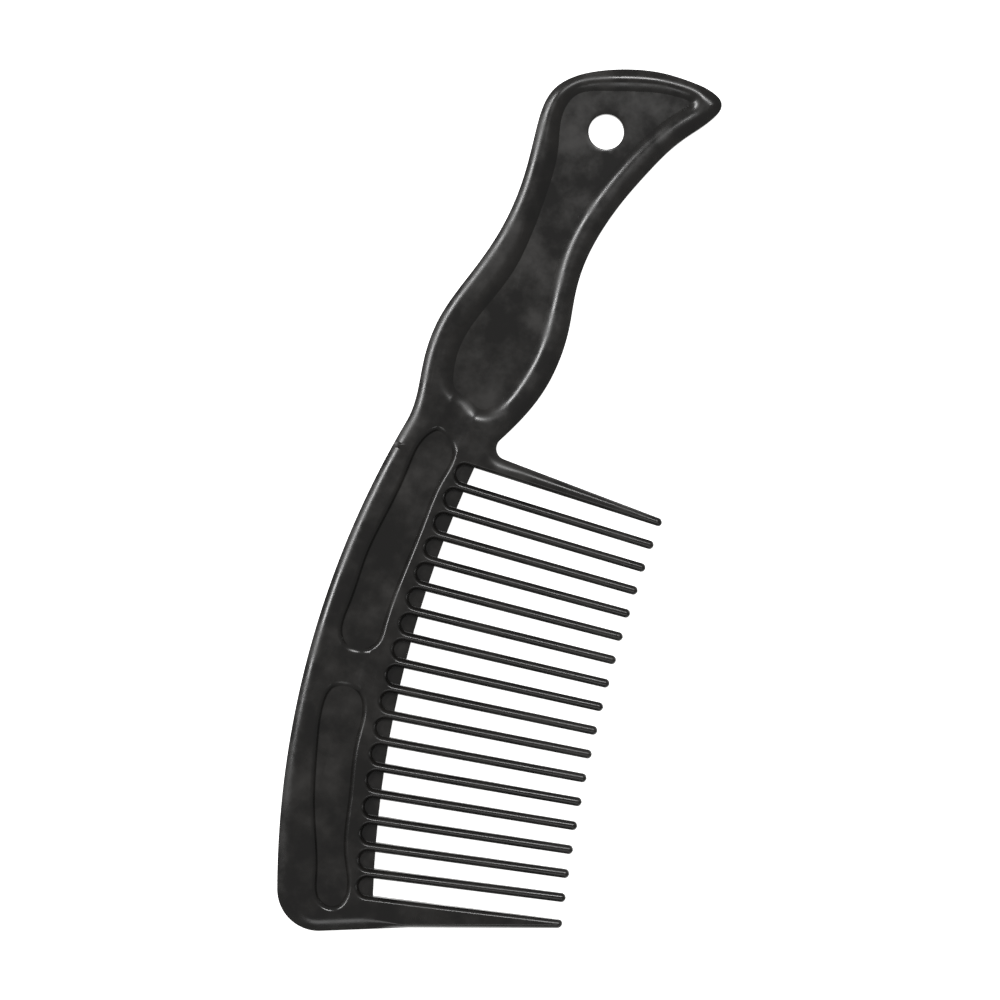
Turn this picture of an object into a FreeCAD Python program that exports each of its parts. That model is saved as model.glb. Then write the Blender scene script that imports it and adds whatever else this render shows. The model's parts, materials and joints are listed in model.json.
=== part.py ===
"""Wide tooth comb: one black injection moulding, exported region by region.

Drawing plane: X runs along the teeth from root to tip, Y runs along the tooth row
towards the handle, Z is up from the face that the comb lies on. The drawing origin is
the middle of the tooth row, on the datum line that the tooth pitch is measured along.
The finished comb is moved at the end, so that the origin is the bottom centre of its box.
Millimetres and degrees throughout.
"""
import FreeCAD
import Part
import math
import os

# ---- plate ---------------------------------------------------------------------------
plate_thickness = 5.6        # rim to rim, spine and handle
edge_round = 1.6             # roll along the outer edges of both faces
web_thickness = 2.4          # floor of the handle recess, between the two faces
panel_depth = 1.1            # recessed panels of the spine, each face
channel_depth = 0.55         # shallow troughs that join the panels, each face
round_limit = 0.45           # a section's corner radius is at most this share of its side

# ---- tooth row -----------------------------------------------------------------------
inner_teeth = 16
tooth_pitch = 6.93           # along the datum line
fan_radius = 608.0           # tooth axes are rays through this far centre
fan_drop = 1.94              # fan centre below the middle of the row
tooth_root_width = 2.4
tooth_tip_width = 2.3
tooth_tip_height = 3.0       # through the comb's thickness; the root is as thick as the plate
tooth_edge_round = 0.6
nose_flat = 0.45             # share of the tip height that is left at the very end
tooth_reach = 45.25          # datum line to the nearest point of the tip arc
tip_arc_radius = 445.0
tip_arc_drop = 15.74         # nearest point of the tip arc, below the row's middle

# ---- spine ---------------------------------------------------------------------------
root_setback = 8.05          # datum line to the deepest point of the root arc
root_arc_radius = 292.0
root_arc_drop = 6.74
spine_width = 25.7           # root arc to back edge, where the spine is widest
back_arc_radius = 243.0
back_arc_drop = 11.74
bottom_corner_round = 11.0
bottom_edge_angle = 14.2
bottom_edge_drop = 8.15      # bottom edge below the lower guard's inner edge, at the datum
pocket_depth = 4.0           # root arc to the closed end of a pocket's floor
pocket_web = 1.8             # web left between the two pockets, front and back
pocket_slope = 0.45          # run of the pocket's sloping wall

# ---- guard teeth ---------------------------------------------------------------------
upper_guard_gap = 4.63       # clear gap to the nearest inner tooth, at the datum line
upper_guard_width = 4.92     # at the datum line
upper_guard_inner_angle = -5.6
upper_guard_outer_angle = -8.75
upper_guard_root = 7.6       # where the guard tooth leaves the neck
lower_guard_gap = 4.81
lower_guard_inner_angle = 4.8
lower_guard_outer_angle = 11.7
lower_guard_bend = 7.5       # where the underside turns into the bottom edge
guard_edge_round = 0.9

# ---- handle --------------------------------------------------------------------------
neck_rise = 7.36             # neck level above the last pitch line of the row
neck_round = 3.0             # hollow between the handle and the upper guard tooth
neck_slant = 1.43            # fall of the handle's side, per unit of run, into that hollow
neck_split_rise = 2.0        # joint of spine and handle regions, above the neck level
handle_length = 103.8        # neck level to the crown
recess_slope = 2.4           # run of the sloping wall round the handle recess
panel_slope = 1.3            # run of the sloping wall round a spine panel
channel_width = 8.0
hole_radius = 4.65           # hanging hole
hole_across = 14.8           # datum line to the hole's centre
hole_below_crown = 18.2

# Handle edge from the back of the neck, over the crown and the beak, down to the neck's
# hollow side: distance from the datum line, rise above the neck level.
HANDLE_EDGE = [
    (-19.7, 7.0), (-19.8, 16.0), (-18.2, 28.0), (-12.25, 42.0), (-7.27, 54.0),
    (-4.2, 68.0), (-3.45, 82.0), (-0.87, 94.0), (3.46, 98.0), (10.0, 101.0),
    (18.0, 103.05), (26.0, 103.8), (34.0, 103.1), (41.0, 101.1), (42.9, 99.4),
    (43.15, 97.7), (42.4, 96.0), (34.4, 87.0), (28.17, 78.0), (23.12, 69.0),
    (19.18, 60.0), (16.6, 51.0), (15.77, 42.0), (16.06, 33.0), (15.29, 24.0),
    (12.83, 15.0), (8.24, 6.0)]

# Floor of the handle recess, clockwise from the left edge.
RECESS_FLOOR = [
    (2.8, 66.0), (3.3, 79.0), (2.6, 87.5), (5.0, 93.3), (12.0, 96.0), (22.0, 97.9),
    (32.0, 98.4), (34.8, 97.6), (33.2, 95.6), (27.0, 89.0), (20.0, 78.5), (14.0, 66.5),
    (10.1, 54.0), (9.2, 39.0), (7.8, 24.0), (4.5, 14.5), (0.4, 8.3), (-2.0, 7.1),
    (-6.0, 9.0), (-10.3, 11.3), (-11.3, 14.5), (-10.7, 24.0), (-6.5, 34.0),
    (-1.7, 44.0), (1.0, 54.0)]

# Rims of the two spine panels, clockwise from the top, from the row's middle.
UPPER_PANEL_RIM = [
    (-12.3, 66.7), (-8.0, 64.6), (-6.1, 61.0), (-7.9, 52.3), (-9.9, 42.3), (-12.3, 28.3),
    (-14.5, 12.3), (-15.3, 7.4), (-18.0, 4.5), (-21.5, 3.6), (-25.2, 4.8), (-27.1, 8.0),
    (-26.6, 16.3), (-24.8, 30.3), (-21.8, 42.3), (-19.0, 54.3), (-16.0, 63.8)]
LOWER_PANEL_RIM = [
    (-21.8, -4.1), (-17.6, -5.5), (-15.5, -8.9), (-15.2, -18.0), (-13.9, -33.8),
    (-11.9, -48.8), (-9.4, -59.2), (-11.2, -63.2), (-15.0, -64.2), (-18.3, -62.3),
    (-20.3, -55.8), (-24.3, -39.8), (-27.3, -21.8), (-28.0, -12.0), (-26.0, -5.6)]

# Ends of the troughs. The neck trough ends in the handle recess, so its second end is a
# handle point; the others are in the drawing plane.
NECK_TROUGH = ((-10.3, 60.7), (-6.0, 9.0))
MIDDLE_TROUGH = ((-21.5, 3.6), (-21.8, -4.1))

mid_z = plate_thickness / 2
near = 0.01                                  # two places closer than this are the same
beyond = 1.0                                 # cutters stand out this far past what they cut
row_end = tooth_pitch * (inner_teeth + 1) / 2
neck_level = row_end + neck_rise
back_reach = root_setback + spine_width
NOSE_TURNS = (0, 25, 45, 62, 76)             # stations round a tooth's nose, in degrees


def vec(x, y, z=0.0):
    return FreeCAD.Vector(x, y, z)


def rise(angle):
    """Rise per unit of run along X."""
    return math.tan(math.radians(angle))


def arc_x(nearest, radius, drop, y):
    """X of an arc that bulges towards -X, at the height y."""
    return nearest + radius - math.sqrt(radius ** 2 - (y + drop) ** 2)


def root_x(y):
    return arc_x(-root_setback, root_arc_radius, root_arc_drop, y)


def back_x(y):
    return arc_x(-back_reach, back_arc_radius, back_arc_drop, y)


def tip_x(y):
    return arc_x(tooth_reach, tip_arc_radius, tip_arc_drop, y)


def line(a, b):
    return Part.LineSegment(vec(*a), vec(*b)).toShape()


def prism(points, height, z=0.0):
    """Upright prism on a closed polygon."""
    wire = Part.makePolygon([vec(x, y, z) for x, y in points + points[:1]])
    return Part.Face(wire).extrude(vec(0, 0, height))


def closed_curve(points, z):
    curve = Part.BSplineCurve()
    curve.interpolate([vec(x, y, z) for x, y in points], PeriodicFlag=True)
    return curve


def offset_points(points, distance):
    """Points moved square to the smooth closed curve through them; + is outwards."""
    curve = closed_curve(points, 0)
    moved = []
    for x, y in points:
        along = curve.tangent(curve.parameter(vec(x, y)))[0]
        moved.append((x - along.y * distance, y + along.x * distance))
    return moved


def recess_cutter(rim, floor, depth):
    """Sloping-walled cutter for both faces, from the floor outline out past the rim."""
    overshoot = beyond / depth
    top = [(a + (a - c) * overshoot, b + (b - d) * overshoot)
           for (a, b), (c, d) in zip(rim, floor)]
    low = Part.Wire(closed_curve(floor, plate_thickness - depth).toShape())
    high = Part.Wire(closed_curve(top, plate_thickness + beyond).toShape())
    upper = Part.makeLoft([low, high], True, True)
    return [upper, upper.mirror(vec(0, 0, mid_z), vec(0, 0, 1))]


def trough_cutter(start, end):
    """Shallow round-bottomed trough from start to end, on both faces."""
    half = channel_width / 2
    radius = (half ** 2 + channel_depth ** 2) / (2 * channel_depth)
    z = plate_thickness - channel_depth + radius
    a = vec(start[0], start[1], z)
    b = vec(end[0], end[1], z)
    upper = Part.makeCylinder(radius, (b - a).Length, a, b - a)
    return [upper, upper.mirror(vec(0, 0, mid_z), vec(0, 0, 1))]


# ---- teeth ---------------------------------------------------------------------------
def axis_height(index):
    """Height of tooth axis 1..inner_teeth on the datum line; 0 is one pitch below."""
    return tooth_pitch * (index - (inner_teeth + 1) / 2)


def axis_angle(height):
    return math.degrees(math.atan2(-(height + fan_drop), fan_radius))


def upper_guard_lines():
    """Datum heights of the upper guard's inner and outer edges."""
    inner = axis_height(inner_teeth) + tooth_root_width / 2 + upper_guard_gap
    return inner, inner + upper_guard_width


def lower_guard_lines():
    """Datum heights of the lower guard's inner edge and of the bottom edge."""
    inner = axis_height(1) - tooth_root_width / 2 - lower_guard_gap
    return inner, inner - bottom_edge_drop


def meet_root_arc(height, angle):
    """Where a slanted edge through the datum line meets the root arc."""
    x = -root_setback
    for _ in range(8):
        x = root_x(height + x * rise(angle))
    return x, height + x * rise(angle)


def section(x, low, high, height, radius):
    """Rounded rectangle square to the X axis, centred through the comb's thickness."""
    radius = min(radius, (high - low) * round_limit, height * round_limit)
    bottom = mid_z - height / 2
    top = mid_z + height / 2
    slack = radius * (1 - math.sqrt(0.5))
    corners = ((low, bottom, 1, 1), (high, bottom, -1, 1), (high, top, -1, -1),
               (low, top, 1, -1))
    arcs = []
    for turn, (y, z, in_y, in_z) in enumerate(corners):
        ends = [vec(x, y + in_y * radius, z), vec(x, y, z + in_z * radius)]
        if turn % 2 == 0:
            ends.reverse()
        middle = vec(x, y + in_y * slack, z + in_z * slack)
        arcs.append((ends[0], middle, ends[1]))
    edges = []
    for arc, following in zip(arcs, arcs[1:] + arcs[:1]):
        edges.append(Part.Arc(*arc).toShape())
        edges.append(Part.LineSegment(arc[2], following[0]).toShape())
    return Part.Wire(edges)


def tooth_loft(start, end, low_at, high_at, radius):
    """Tooth between two slanted flanks, as thick as the plate at its root, nose rounded.

    low_at and high_at give the flanks' Y for any X.
    """
    nose = (high_at(end) - low_at(end)) / 2
    shoulder = end - nose
    wires = [section(start, low_at(start), high_at(start), plate_thickness, radius)]
    for turn in NOSE_TURNS:
        x = shoulder + nose * math.sin(math.radians(turn))
        share = math.cos(math.radians(turn))
        middle = (low_at(x) + high_at(x)) / 2
        half = (high_at(x) - low_at(x)) / 2 * share
        height = tooth_tip_height * (nose_flat + (1 - nose_flat) * share)
        wires.append(section(x, middle - half, middle + half, height, radius))
    return Part.makeLoft(wires, True, True)


def inner_tooth(index):
    """One inner tooth, drawn along X, turned on to its ray and trimmed to the root arc."""
    height = axis_height(index)
    angle = axis_angle(height)
    start = -root_setback - beyond
    end = tip_x(height + tooth_reach * rise(angle)) / math.cos(math.radians(angle))
    taper = (tooth_root_width - tooth_tip_width) / (end - start)

    def half_width(x):
        return (tooth_root_width - taper * (x - start)) / 2

    solid = tooth_loft(start, end, lambda x: -half_width(x), half_width, tooth_edge_round)
    solid.rotate(vec(0, 0), vec(0, 0, 1), angle)
    solid.translate(vec(0, height))
    centre = vec(root_arc_radius - root_setback, -root_arc_drop, -beyond)
    in_front = Part.makeCylinder(root_arc_radius, plate_thickness + 2 * beyond, centre)
    return solid.common(in_front)


def guard_edge(height, angle, x):
    return height + x * rise(angle)


def upper_guard():
    inner, outer = upper_guard_lines()
    end = tip_x(guard_edge(inner, upper_guard_inner_angle, tooth_reach))
    return tooth_loft(upper_guard_root, end,
                      lambda x: guard_edge(inner, upper_guard_inner_angle, x),
                      lambda x: guard_edge(outer, upper_guard_outer_angle, x),
                      guard_edge_round)


def bottom_edge(x):
    return guard_edge(lower_guard_lines()[1], bottom_edge_angle, x)


def lower_guard():
    """Wedge tooth; its underside leaves the bottom edge at a slight bend."""
    inner = lower_guard_lines()[0]
    start = meet_root_arc(inner, lower_guard_inner_angle)[0]
    end = tip_x(guard_edge(inner, lower_guard_inner_angle, tooth_reach))
    bend = bottom_edge(lower_guard_bend)

    def top(x):
        return guard_edge(inner, lower_guard_inner_angle, x)

    def underside(x):
        return bend + (x - lower_guard_bend) * rise(lower_guard_outer_angle)

    toe = tooth_loft(lower_guard_bend, end, underside, top, guard_edge_round)
    heel = Part.makeLoft([
        section(start, bottom_edge(start), top(start), plate_thickness, guard_edge_round),
        section(lower_guard_bend, bend, top(lower_guard_bend), plate_thickness,
                guard_edge_round)], True, True)
    return heel.fuse(toe)


# ---- plate: spine and handle ----------------------------------------------------------
def handle_point(point):
    """A handle point in the drawing plane; the handle stretches with its length."""
    stretch = handle_length / max(y for _, y in HANDLE_EDGE)
    return point[0], neck_level + point[1] * stretch


def bottom_corner():
    """Where the back arc and the bottom edge would cross, before the corner is rounded."""
    x = -back_reach
    for _ in range(12):
        x = back_x(bottom_edge(x))
    return x, bottom_edge(x)


def neck_corner():
    """Where the handle's last stretch and the guard's outer edge would cross."""
    outer = upper_guard_lines()[1]
    x1, y1 = handle_point(HANDLE_EDGE[-1])
    x = (outer - y1 + neck_slant * x1) / (neck_slant - rise(upper_guard_outer_angle))
    return x, guard_edge(outer, upper_guard_outer_angle, x)


def plate_blank():
    """Spine and handle as one plate with a flat top, all outer edges rolled."""
    corner = bottom_corner()
    neck_back = (back_x(neck_level), neck_level)
    back_mid = (back_x((corner[1] + neck_level) / 2), (corner[1] + neck_level) / 2)
    back = Part.Arc(vec(*corner), vec(*back_mid), vec(*neck_back))

    neck = neck_corner()
    edge_points = [neck_back] + [handle_point(p) for p in HANDLE_EDGE] + [neck]
    handle = Part.BSplineCurve()
    free = vec(0, 0)
    leave = back.tangent(back.LastParameter)[0]
    handle.interpolate([vec(x, y) for x, y in edge_points],
                       Tangents=[leave] + [free] * (len(edge_points) - 1),
                       TangentFlags=[True] + [False] * (len(edge_points) - 1))

    upper_inner, upper_outer = upper_guard_lines()
    lower_inner = lower_guard_lines()[0]
    guard_top = (upper_guard_root,
                 guard_edge(upper_outer, upper_guard_outer_angle, upper_guard_root))
    guard_low = (upper_guard_root,
                 guard_edge(upper_inner, upper_guard_inner_angle, upper_guard_root))
    root_top = meet_root_arc(upper_inner, upper_guard_inner_angle)
    root_low = meet_root_arc(lower_inner, lower_guard_inner_angle)
    root_mid_y = (root_top[1] + root_low[1]) / 2
    root = Part.Arc(vec(*root_top), vec(root_x(root_mid_y), root_mid_y), vec(*root_low))
    bottom = (root_low[0], bottom_edge(root_low[0]))

    edges = [back.toShape(), handle.toShape(), line(neck, guard_top),
             line(guard_top, guard_low), line(guard_low, root_top), root.toShape(),
             line(root_low, bottom), line(bottom, corner)]
    blank = Part.Face(Part.Wire(edges)).extrude(vec(0, 0, plate_thickness))

    blank = round_upright(blank, corner, bottom_corner_round)
    blank = round_upright(blank, neck, neck_round)
    return blank.makeFillet(edge_round, rolled_edges(blank))


def round_upright(solid, place, radius):
    """Round the upright edge that stands at a place in the drawing plane."""
    found = [e for e in solid.Edges
             if e.BoundBox.ZLength > plate_thickness - near
             and math.hypot(e.CenterOfMass.x - place[0], e.CenterOfMass.y - place[1]) < near]
    return solid.makeFillet(radius, found)


def rolled_edges(solid):
    """Top and bottom edges of the outside, but not those along the teeth's roots."""
    rolled = []
    for edge in solid.Edges:
        flat = edge.BoundBox.ZLength < near
        middle = edge.valueAt((edge.FirstParameter + edge.LastParameter) / 2)
        along_root = middle.x > root_x(middle.y) - beyond and middle.y < row_end
        at_guard = abs(middle.x - upper_guard_root) < near
        under_guard = edge.BoundBox.XMin > root_x(row_end) - beyond \
            and edge.BoundBox.YMax < upper_guard_lines()[0] + beyond
        if flat and not along_root and not at_guard and not under_guard:
            rolled.append(edge)
    return rolled


def pocket_cutters(height_low, angle_low, height_high, angle_high):
    """Blind pocket behind one gap, on both faces, flush with the flanks beside it."""
    height = (height_low + height_high) / 2
    angle = (angle_low + angle_high) / 2
    x, y = meet_root_arc(height, angle)
    half = (height_high - height_low) / 2
    spread = (rise(angle_high) - rise(angle_low)) / 2
    depth = mid_z - pocket_web / 2
    wires = []
    for level, grow in ((0.0, 0.0), (depth + beyond, pocket_slope * (depth + beyond) / depth)):
        front = 3 * beyond                   # past the deepest bow of the root arc
        half_front = half + spread * (x + front) + grow
        half_back = half + spread * (x - pocket_depth + half) + grow
        straight = -pocket_depth + half_back
        a = vec(front, half_front)
        b = vec(straight - grow, half_back)
        c = vec(straight - grow - half_back, 0)
        d = vec(straight - grow, -half_back)
        e = vec(front, -half_front)
        wire = Part.Wire([Part.LineSegment(a, b).toShape(), Part.Arc(b, c, d).toShape(),
                          Part.LineSegment(d, e).toShape(), Part.LineSegment(e, a).toShape()])
        wire.rotate(vec(0, 0), vec(0, 0, 1), angle)
        wire.translate(vec(x, y, mid_z + pocket_web / 2 + level))
        wires.append(wire)
    upper = Part.makeLoft(wires, True, True)
    return [upper, upper.mirror(vec(0, 0, mid_z), vec(0, 0, 1))]


def gaps():
    """Every gap between teeth: datum height and angle of its lower and upper flank."""
    lower = [(lower_guard_lines()[0], lower_guard_inner_angle)]
    upper = []
    for index in range(1, inner_teeth + 1):
        height = axis_height(index)
        angle = axis_angle(height)
        upper.append((height - tooth_root_width / 2, angle))
        lower.append((height + tooth_root_width / 2, angle))
    upper.append((upper_guard_lines()[0], upper_guard_inner_angle))
    return [low + high for low, high in zip(lower, upper)]


def plate():
    """Finished plate: recess, hanging hole, panels, troughs and tooth pockets cut."""
    cutters = []
    floor = [handle_point(p) for p in RECESS_FLOOR]
    rim = offset_points(floor, recess_slope)
    cutters += recess_cutter(rim, floor, (plate_thickness - web_thickness) / 2)
    for panel in (UPPER_PANEL_RIM, LOWER_PANEL_RIM):
        cutters += recess_cutter(panel, offset_points(panel, -panel_slope), panel_depth)
    cutters += trough_cutter(NECK_TROUGH[0], handle_point(NECK_TROUGH[1]))
    cutters += trough_cutter(*MIDDLE_TROUGH)
    for gap in gaps():
        cutters += pocket_cutters(*gap)
    crown = neck_level + handle_length
    hole = Part.makeCylinder(hole_radius, plate_thickness + 2 * beyond,
                             vec(hole_across, crown - hole_below_crown, -beyond))
    return plate_blank().cut(cutters + [hole])


def split_at_neck(whole):
    """Spine and handle regions, either side of the level joint across the neck."""
    level = neck_level + neck_split_rise
    reach = 2 * (handle_length + row_end + back_reach)
    above = Part.makeBox(reach, reach, plate_thickness + 2 * beyond,
                         vec(-reach / 2, level, -beyond))
    return whole.cut(above), whole.common(above)


def build():
    spine, handle = split_at_neck(plate())
    nodes = {"handle": handle, "spine": spine, "upper_guard_tooth": upper_guard(),
             "lower_guard_tooth": lower_guard()}
    for index in range(1, inner_teeth + 1):
        nodes[f"tooth_{index:02d}"] = inner_tooth(index)
    return nodes


def place_at_bottom_centre(nodes):
    """Move every node, so that the origin is the bottom centre of the whole comb."""
    box = Part.Compound(list(nodes.values())).optimalBoundingBox(False, False)
    shift = vec(-box.Center.x, -box.Center.y, -box.ZMin)
    for solid in nodes.values():
        solid.translate(shift)
    return box, shift


nodes = build()
box, shift = place_at_bottom_centre(nodes)
os.makedirs("parts", exist_ok=True)
for name, solid in nodes.items():
    solid.exportStep(f"parts/{name}.step")
    print(name, solid.ShapeType, len(solid.Solids), solid.isValid(), round(solid.Volume, 2))
print("size", round(box.XLength, 2), round(box.YLength, 2), round(box.ZLength, 2))
print("origin shift", [round(c, 3) for c in shift])
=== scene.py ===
"""Wide tooth comb: the looks of one black injection moulding round its CAD frame.

Shapes are worked in the comb's drawing plane, in millimetres: X runs along the teeth from
root to tip, Y along the tooth row towards the handle, and heights are measured from the
parting plane, halfway through the comb. The origin is the middle of the tooth row, on the
datum line that the tooth pitch is measured along.
"""
import json
import logging
import math
from collections.abc import Callable
from dataclasses import dataclass, field
from enum import Enum

import bpy
import numpy as np
from mathutils import Matrix, Vector
from mathutils.geometry import delaunay_2d_cdt
from mathutils.kdtree import KDTree

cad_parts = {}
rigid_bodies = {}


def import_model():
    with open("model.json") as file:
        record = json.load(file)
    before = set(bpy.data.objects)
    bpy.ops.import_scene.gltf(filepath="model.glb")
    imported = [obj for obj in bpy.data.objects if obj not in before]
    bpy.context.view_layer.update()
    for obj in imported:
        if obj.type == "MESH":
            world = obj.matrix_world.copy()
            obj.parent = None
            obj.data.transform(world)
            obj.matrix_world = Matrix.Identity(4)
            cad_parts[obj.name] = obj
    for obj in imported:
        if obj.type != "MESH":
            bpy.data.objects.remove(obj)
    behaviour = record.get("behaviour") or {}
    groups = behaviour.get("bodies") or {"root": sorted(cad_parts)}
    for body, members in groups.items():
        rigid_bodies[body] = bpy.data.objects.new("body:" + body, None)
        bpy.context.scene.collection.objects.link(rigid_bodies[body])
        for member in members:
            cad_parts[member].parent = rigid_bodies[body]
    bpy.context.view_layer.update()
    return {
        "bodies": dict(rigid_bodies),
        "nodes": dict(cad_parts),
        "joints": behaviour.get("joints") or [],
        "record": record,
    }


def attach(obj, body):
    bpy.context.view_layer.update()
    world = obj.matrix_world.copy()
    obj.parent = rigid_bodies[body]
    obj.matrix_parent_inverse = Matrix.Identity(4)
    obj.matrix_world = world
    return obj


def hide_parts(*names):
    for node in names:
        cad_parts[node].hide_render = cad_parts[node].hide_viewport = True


LOG = logging.getLogger("wide_tooth_comb")
MM = 0.001
BODY = "root"
POCKET_FOOT = 0.12           # mm in plan that a pocket's wall takes to reach its floor
ROLL_SHARES = (0.0, 0.03, 0.1, 0.22, 0.38, 0.54, 0.66, 0.78, 0.89, 1.0)  # rings of a roll
WALL_SHARES = (0.14, 0.28, 0.42, 0.56, 0.7, 0.85, 1.0)         # rings up a sloping wall
NOSE_REACH = 0.97            # share of a full half circle that a tooth's nose reaches
LIP_SHARES = (0, 0.1, 0.3, 0.6, 1.0)   # rings over the rounding at the hanging hole
CLOSE = 0.05                 # mm between the places that a path is first drawn with
ROOT_STEP = 0.7              # mm between places on a pocket's flanks and the root arc
ARC_PLACES = 90              # on a rounded corner or a guard tooth's nose
BEND_PLACES = 19             # on the half circle of a pocket
HOLE_PLACES = 72             # round the hanging hole
ROUNDS = 12                  # of repeating a sum until it settles
ROW_RISE = 0.866             # of a row of free points over their spacing
FLAT = 1e-4                  # mm; anything lower counts as on the parting plane
MERGE = 1e-5                 # mm; places no further apart than this are one
SLIVER = 1e-9                # mm2, twice the area that a triangle has to pass
RELIEF_CREASE = 22           # degrees between faces that shade as a crease
TOOTH_CREASE = 50            # the same on the inner teeth


# ---- plane curves ------------------------------------------------------------------------
def rise(angle: float) -> float:
    """Rise per unit of run along X."""
    return math.tan(math.radians(angle))


def spline(points: np.ndarray, closed: bool, leave: np.ndarray | None = None,
           spacing: float = CLOSE) -> np.ndarray:
    """Smooth cubic curve through points, with chord lengths as its parameter.

    Args:
        points: the places that the curve passes through, in order.
        closed: whether the curve returns to its first point.
        leave: unit direction at the first point of an open curve, or None to leave it free.
        spacing: distance between the returned places.

    Returns:
        Close places along the curve; a closed curve doesn't repeat its first.
    """
    path = np.vstack([points, points[:1]]) if closed else points
    steps = np.diff(path, axis=0)
    spans = np.linalg.norm(steps, axis=1)
    count = len(points)
    system = np.zeros((count, count))
    target = np.zeros((count, 2))
    for i in range(count):
        if not closed and i in (0, count - 1):
            if i == 0 and leave is not None:
                system[i, i] = 1
                target[i] = leave
            else:
                near, far, span = (0, 1, 0) if i == 0 else (i, i - 1, -1)
                system[i, near] = 2
                system[i, far] = 1
                target[i] = 3 * steps[span] / spans[span]
            continue
        before, after = spans[i - 1], spans[i % len(spans)]
        system[i, (i - 1) % count] += 1 / before
        system[i, i] += 2 * (1 / before + 1 / after)
        system[i, (i + 1) % count] += 1 / after
        target[i] = 3 * steps[i - 1] / before ** 2 + 3 * steps[i % len(spans)] / after ** 2
    slopes = np.linalg.solve(system, target)
    slopes = np.vstack([slopes, slopes[:1]]) if closed else slopes
    places = []
    for i, span in enumerate(spans):
        t = np.linspace(0, 1, max(3, int(span / spacing)), endpoint=False)[:, None]
        places.append((2 * t ** 3 - 3 * t ** 2 + 1) * path[i]
                      + (t ** 3 - 2 * t ** 2 + t) * span * slopes[i]
                      + (3 * t ** 2 - 2 * t ** 3) * path[i + 1]
                      + (t ** 3 - t ** 2) * span * slopes[i + 1])
    if not closed:
        places.append(path[-1:])
    return np.vstack(places)


def straight(start: tuple, end: tuple, spacing: float = CLOSE) -> np.ndarray:
    """Close places from start to end, both included.

    Args:
        start: first place.
        end: last place.
        spacing: distance between places.

    Returns:
        The places in order.
    """
    length = math.dist(start, end)
    t = np.linspace(0, 1, max(2, int(length / spacing)))[:, None]
    return np.array(start) * (1 - t) + np.array(end) * t


def sideways(path: np.ndarray, closed: bool) -> np.ndarray:
    """Unit normals that point to the left of a path.

    Args:
        path: places along the path.
        closed: whether the path returns to its first place.

    Returns:
        One normal for each place.
    """
    if closed:
        along = np.roll(path, -1, axis=0) - np.roll(path, 1, axis=0)
    else:
        padded = np.vstack([2 * path[:1] - path[1:2], path, 2 * path[-1:] - path[-2:-1]])
        along = padded[2:] - padded[:-2]
    along /= np.linalg.norm(along, axis=1)[:, None]
    return np.stack([-along[:, 1], along[:, 0]], axis=1)


def even_out(path: np.ndarray, closed: bool, spacing: float, turn: float) -> np.ndarray:
    """Thins a close path to steps of a spacing, and to less where it turns sharply.

    Args:
        path: close places along the path.
        closed: whether the path returns to its first place.
        spacing: longest step, in millimetres.
        turn: most degrees that the path turns in one step.

    Returns:
        The row numbers of the places that are kept, in order.
    """
    ring = np.vstack([path, path[:1]]) if closed else path
    steps = np.diff(ring, axis=0)
    lengths = np.linalg.norm(steps, axis=1)
    heading = np.unwrap(np.arctan2(steps[:, 1], steps[:, 0]))
    bends = np.abs(np.diff(heading, append=heading[-1:]))
    cost = np.concatenate([[0], np.cumsum(lengths / spacing + bends / math.radians(turn))])
    wanted = np.linspace(0, cost[-1], max(4, int(math.ceil(cost[-1]))) + 1)
    rows = np.unique(np.searchsorted(cost, wanted - 1e-9))
    rows = np.clip(rows, 0, len(ring) - 1)
    return np.unique(rows[:-1] if closed else rows)


def crossing(first: np.ndarray, second: np.ndarray) -> np.ndarray:
    """The place where two paths cross; they cross once.

    Args:
        first: one path.
        second: the other path.

    Returns:
        The place.
    """
    a, r = first[:-1, None], np.diff(first, axis=0)[:, None]
    b, s = second[None, :-1], np.diff(second, axis=0)[None]
    bottom = r[..., 0] * s[..., 1] - r[..., 1] * s[..., 0]
    bottom = np.where(np.abs(bottom) < 1e-12, 1e-12, bottom)
    gap = b - a
    t = (gap[..., 0] * s[..., 1] - gap[..., 1] * s[..., 0]) / bottom
    u = (gap[..., 0] * r[..., 1] - gap[..., 1] * r[..., 0]) / bottom
    i, j = np.argwhere((t >= 0) & (t <= 1) & (u >= 0) & (u <= 1))[0]
    return a[i, 0] + t[i, j] * r[i, 0]


def round_corner(into: np.ndarray, out: np.ndarray, radius: float, hollow: bool
                 ) -> np.ndarray:
    """Joins two paths that meet in a corner by an arc.

    Args:
        into: path that ends at the corner.
        out: path that starts at the corner.
        radius: radius of the arc.
        hollow: True where the moulding, on the left of the path, is outside the arc.

    Returns:
        One path with the corner rounded.
    """
    side = -radius if hollow else radius
    centre = crossing(into + sideways(into, False) * side,
                      out + sideways(out, False) * side)
    last = int(np.argmin(np.linalg.norm(into - centre, axis=1)))
    first = int(np.argmin(np.linalg.norm(out - centre, axis=1)))
    start = math.atan2(*(into[last] - centre)[::-1])
    end = math.atan2(*(out[first] - centre)[::-1])
    sweep = math.remainder(end - start, 2 * math.pi)
    angles = start + sweep * np.linspace(0, 1, ARC_PLACES)[1:-1]
    arc = centre + radius * np.stack([np.cos(angles), np.sin(angles)], axis=1)
    return np.vstack([into[:last + 1], arc, out[first:]])


def inside(outline: np.ndarray, places: np.ndarray) -> np.ndarray:
    """Which places lie inside a closed outline.

    Args:
        outline: the outline's places, in order.
        places: places in the drawing plane.

    Returns:
        True for each place inside it.
    """
    x, y = places[:, 0], places[:, 1]
    result = np.zeros(len(places), bool)
    for (x0, y0), (x1, y1) in zip(outline, np.roll(outline, -1, axis=0)):
        if y0 != y1:
            level = (y0 > y) != (y1 > y)
            result ^= level & (x < (x1 - x0) * (y - y0) / (y1 - y0) + x0)
    return result


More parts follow.
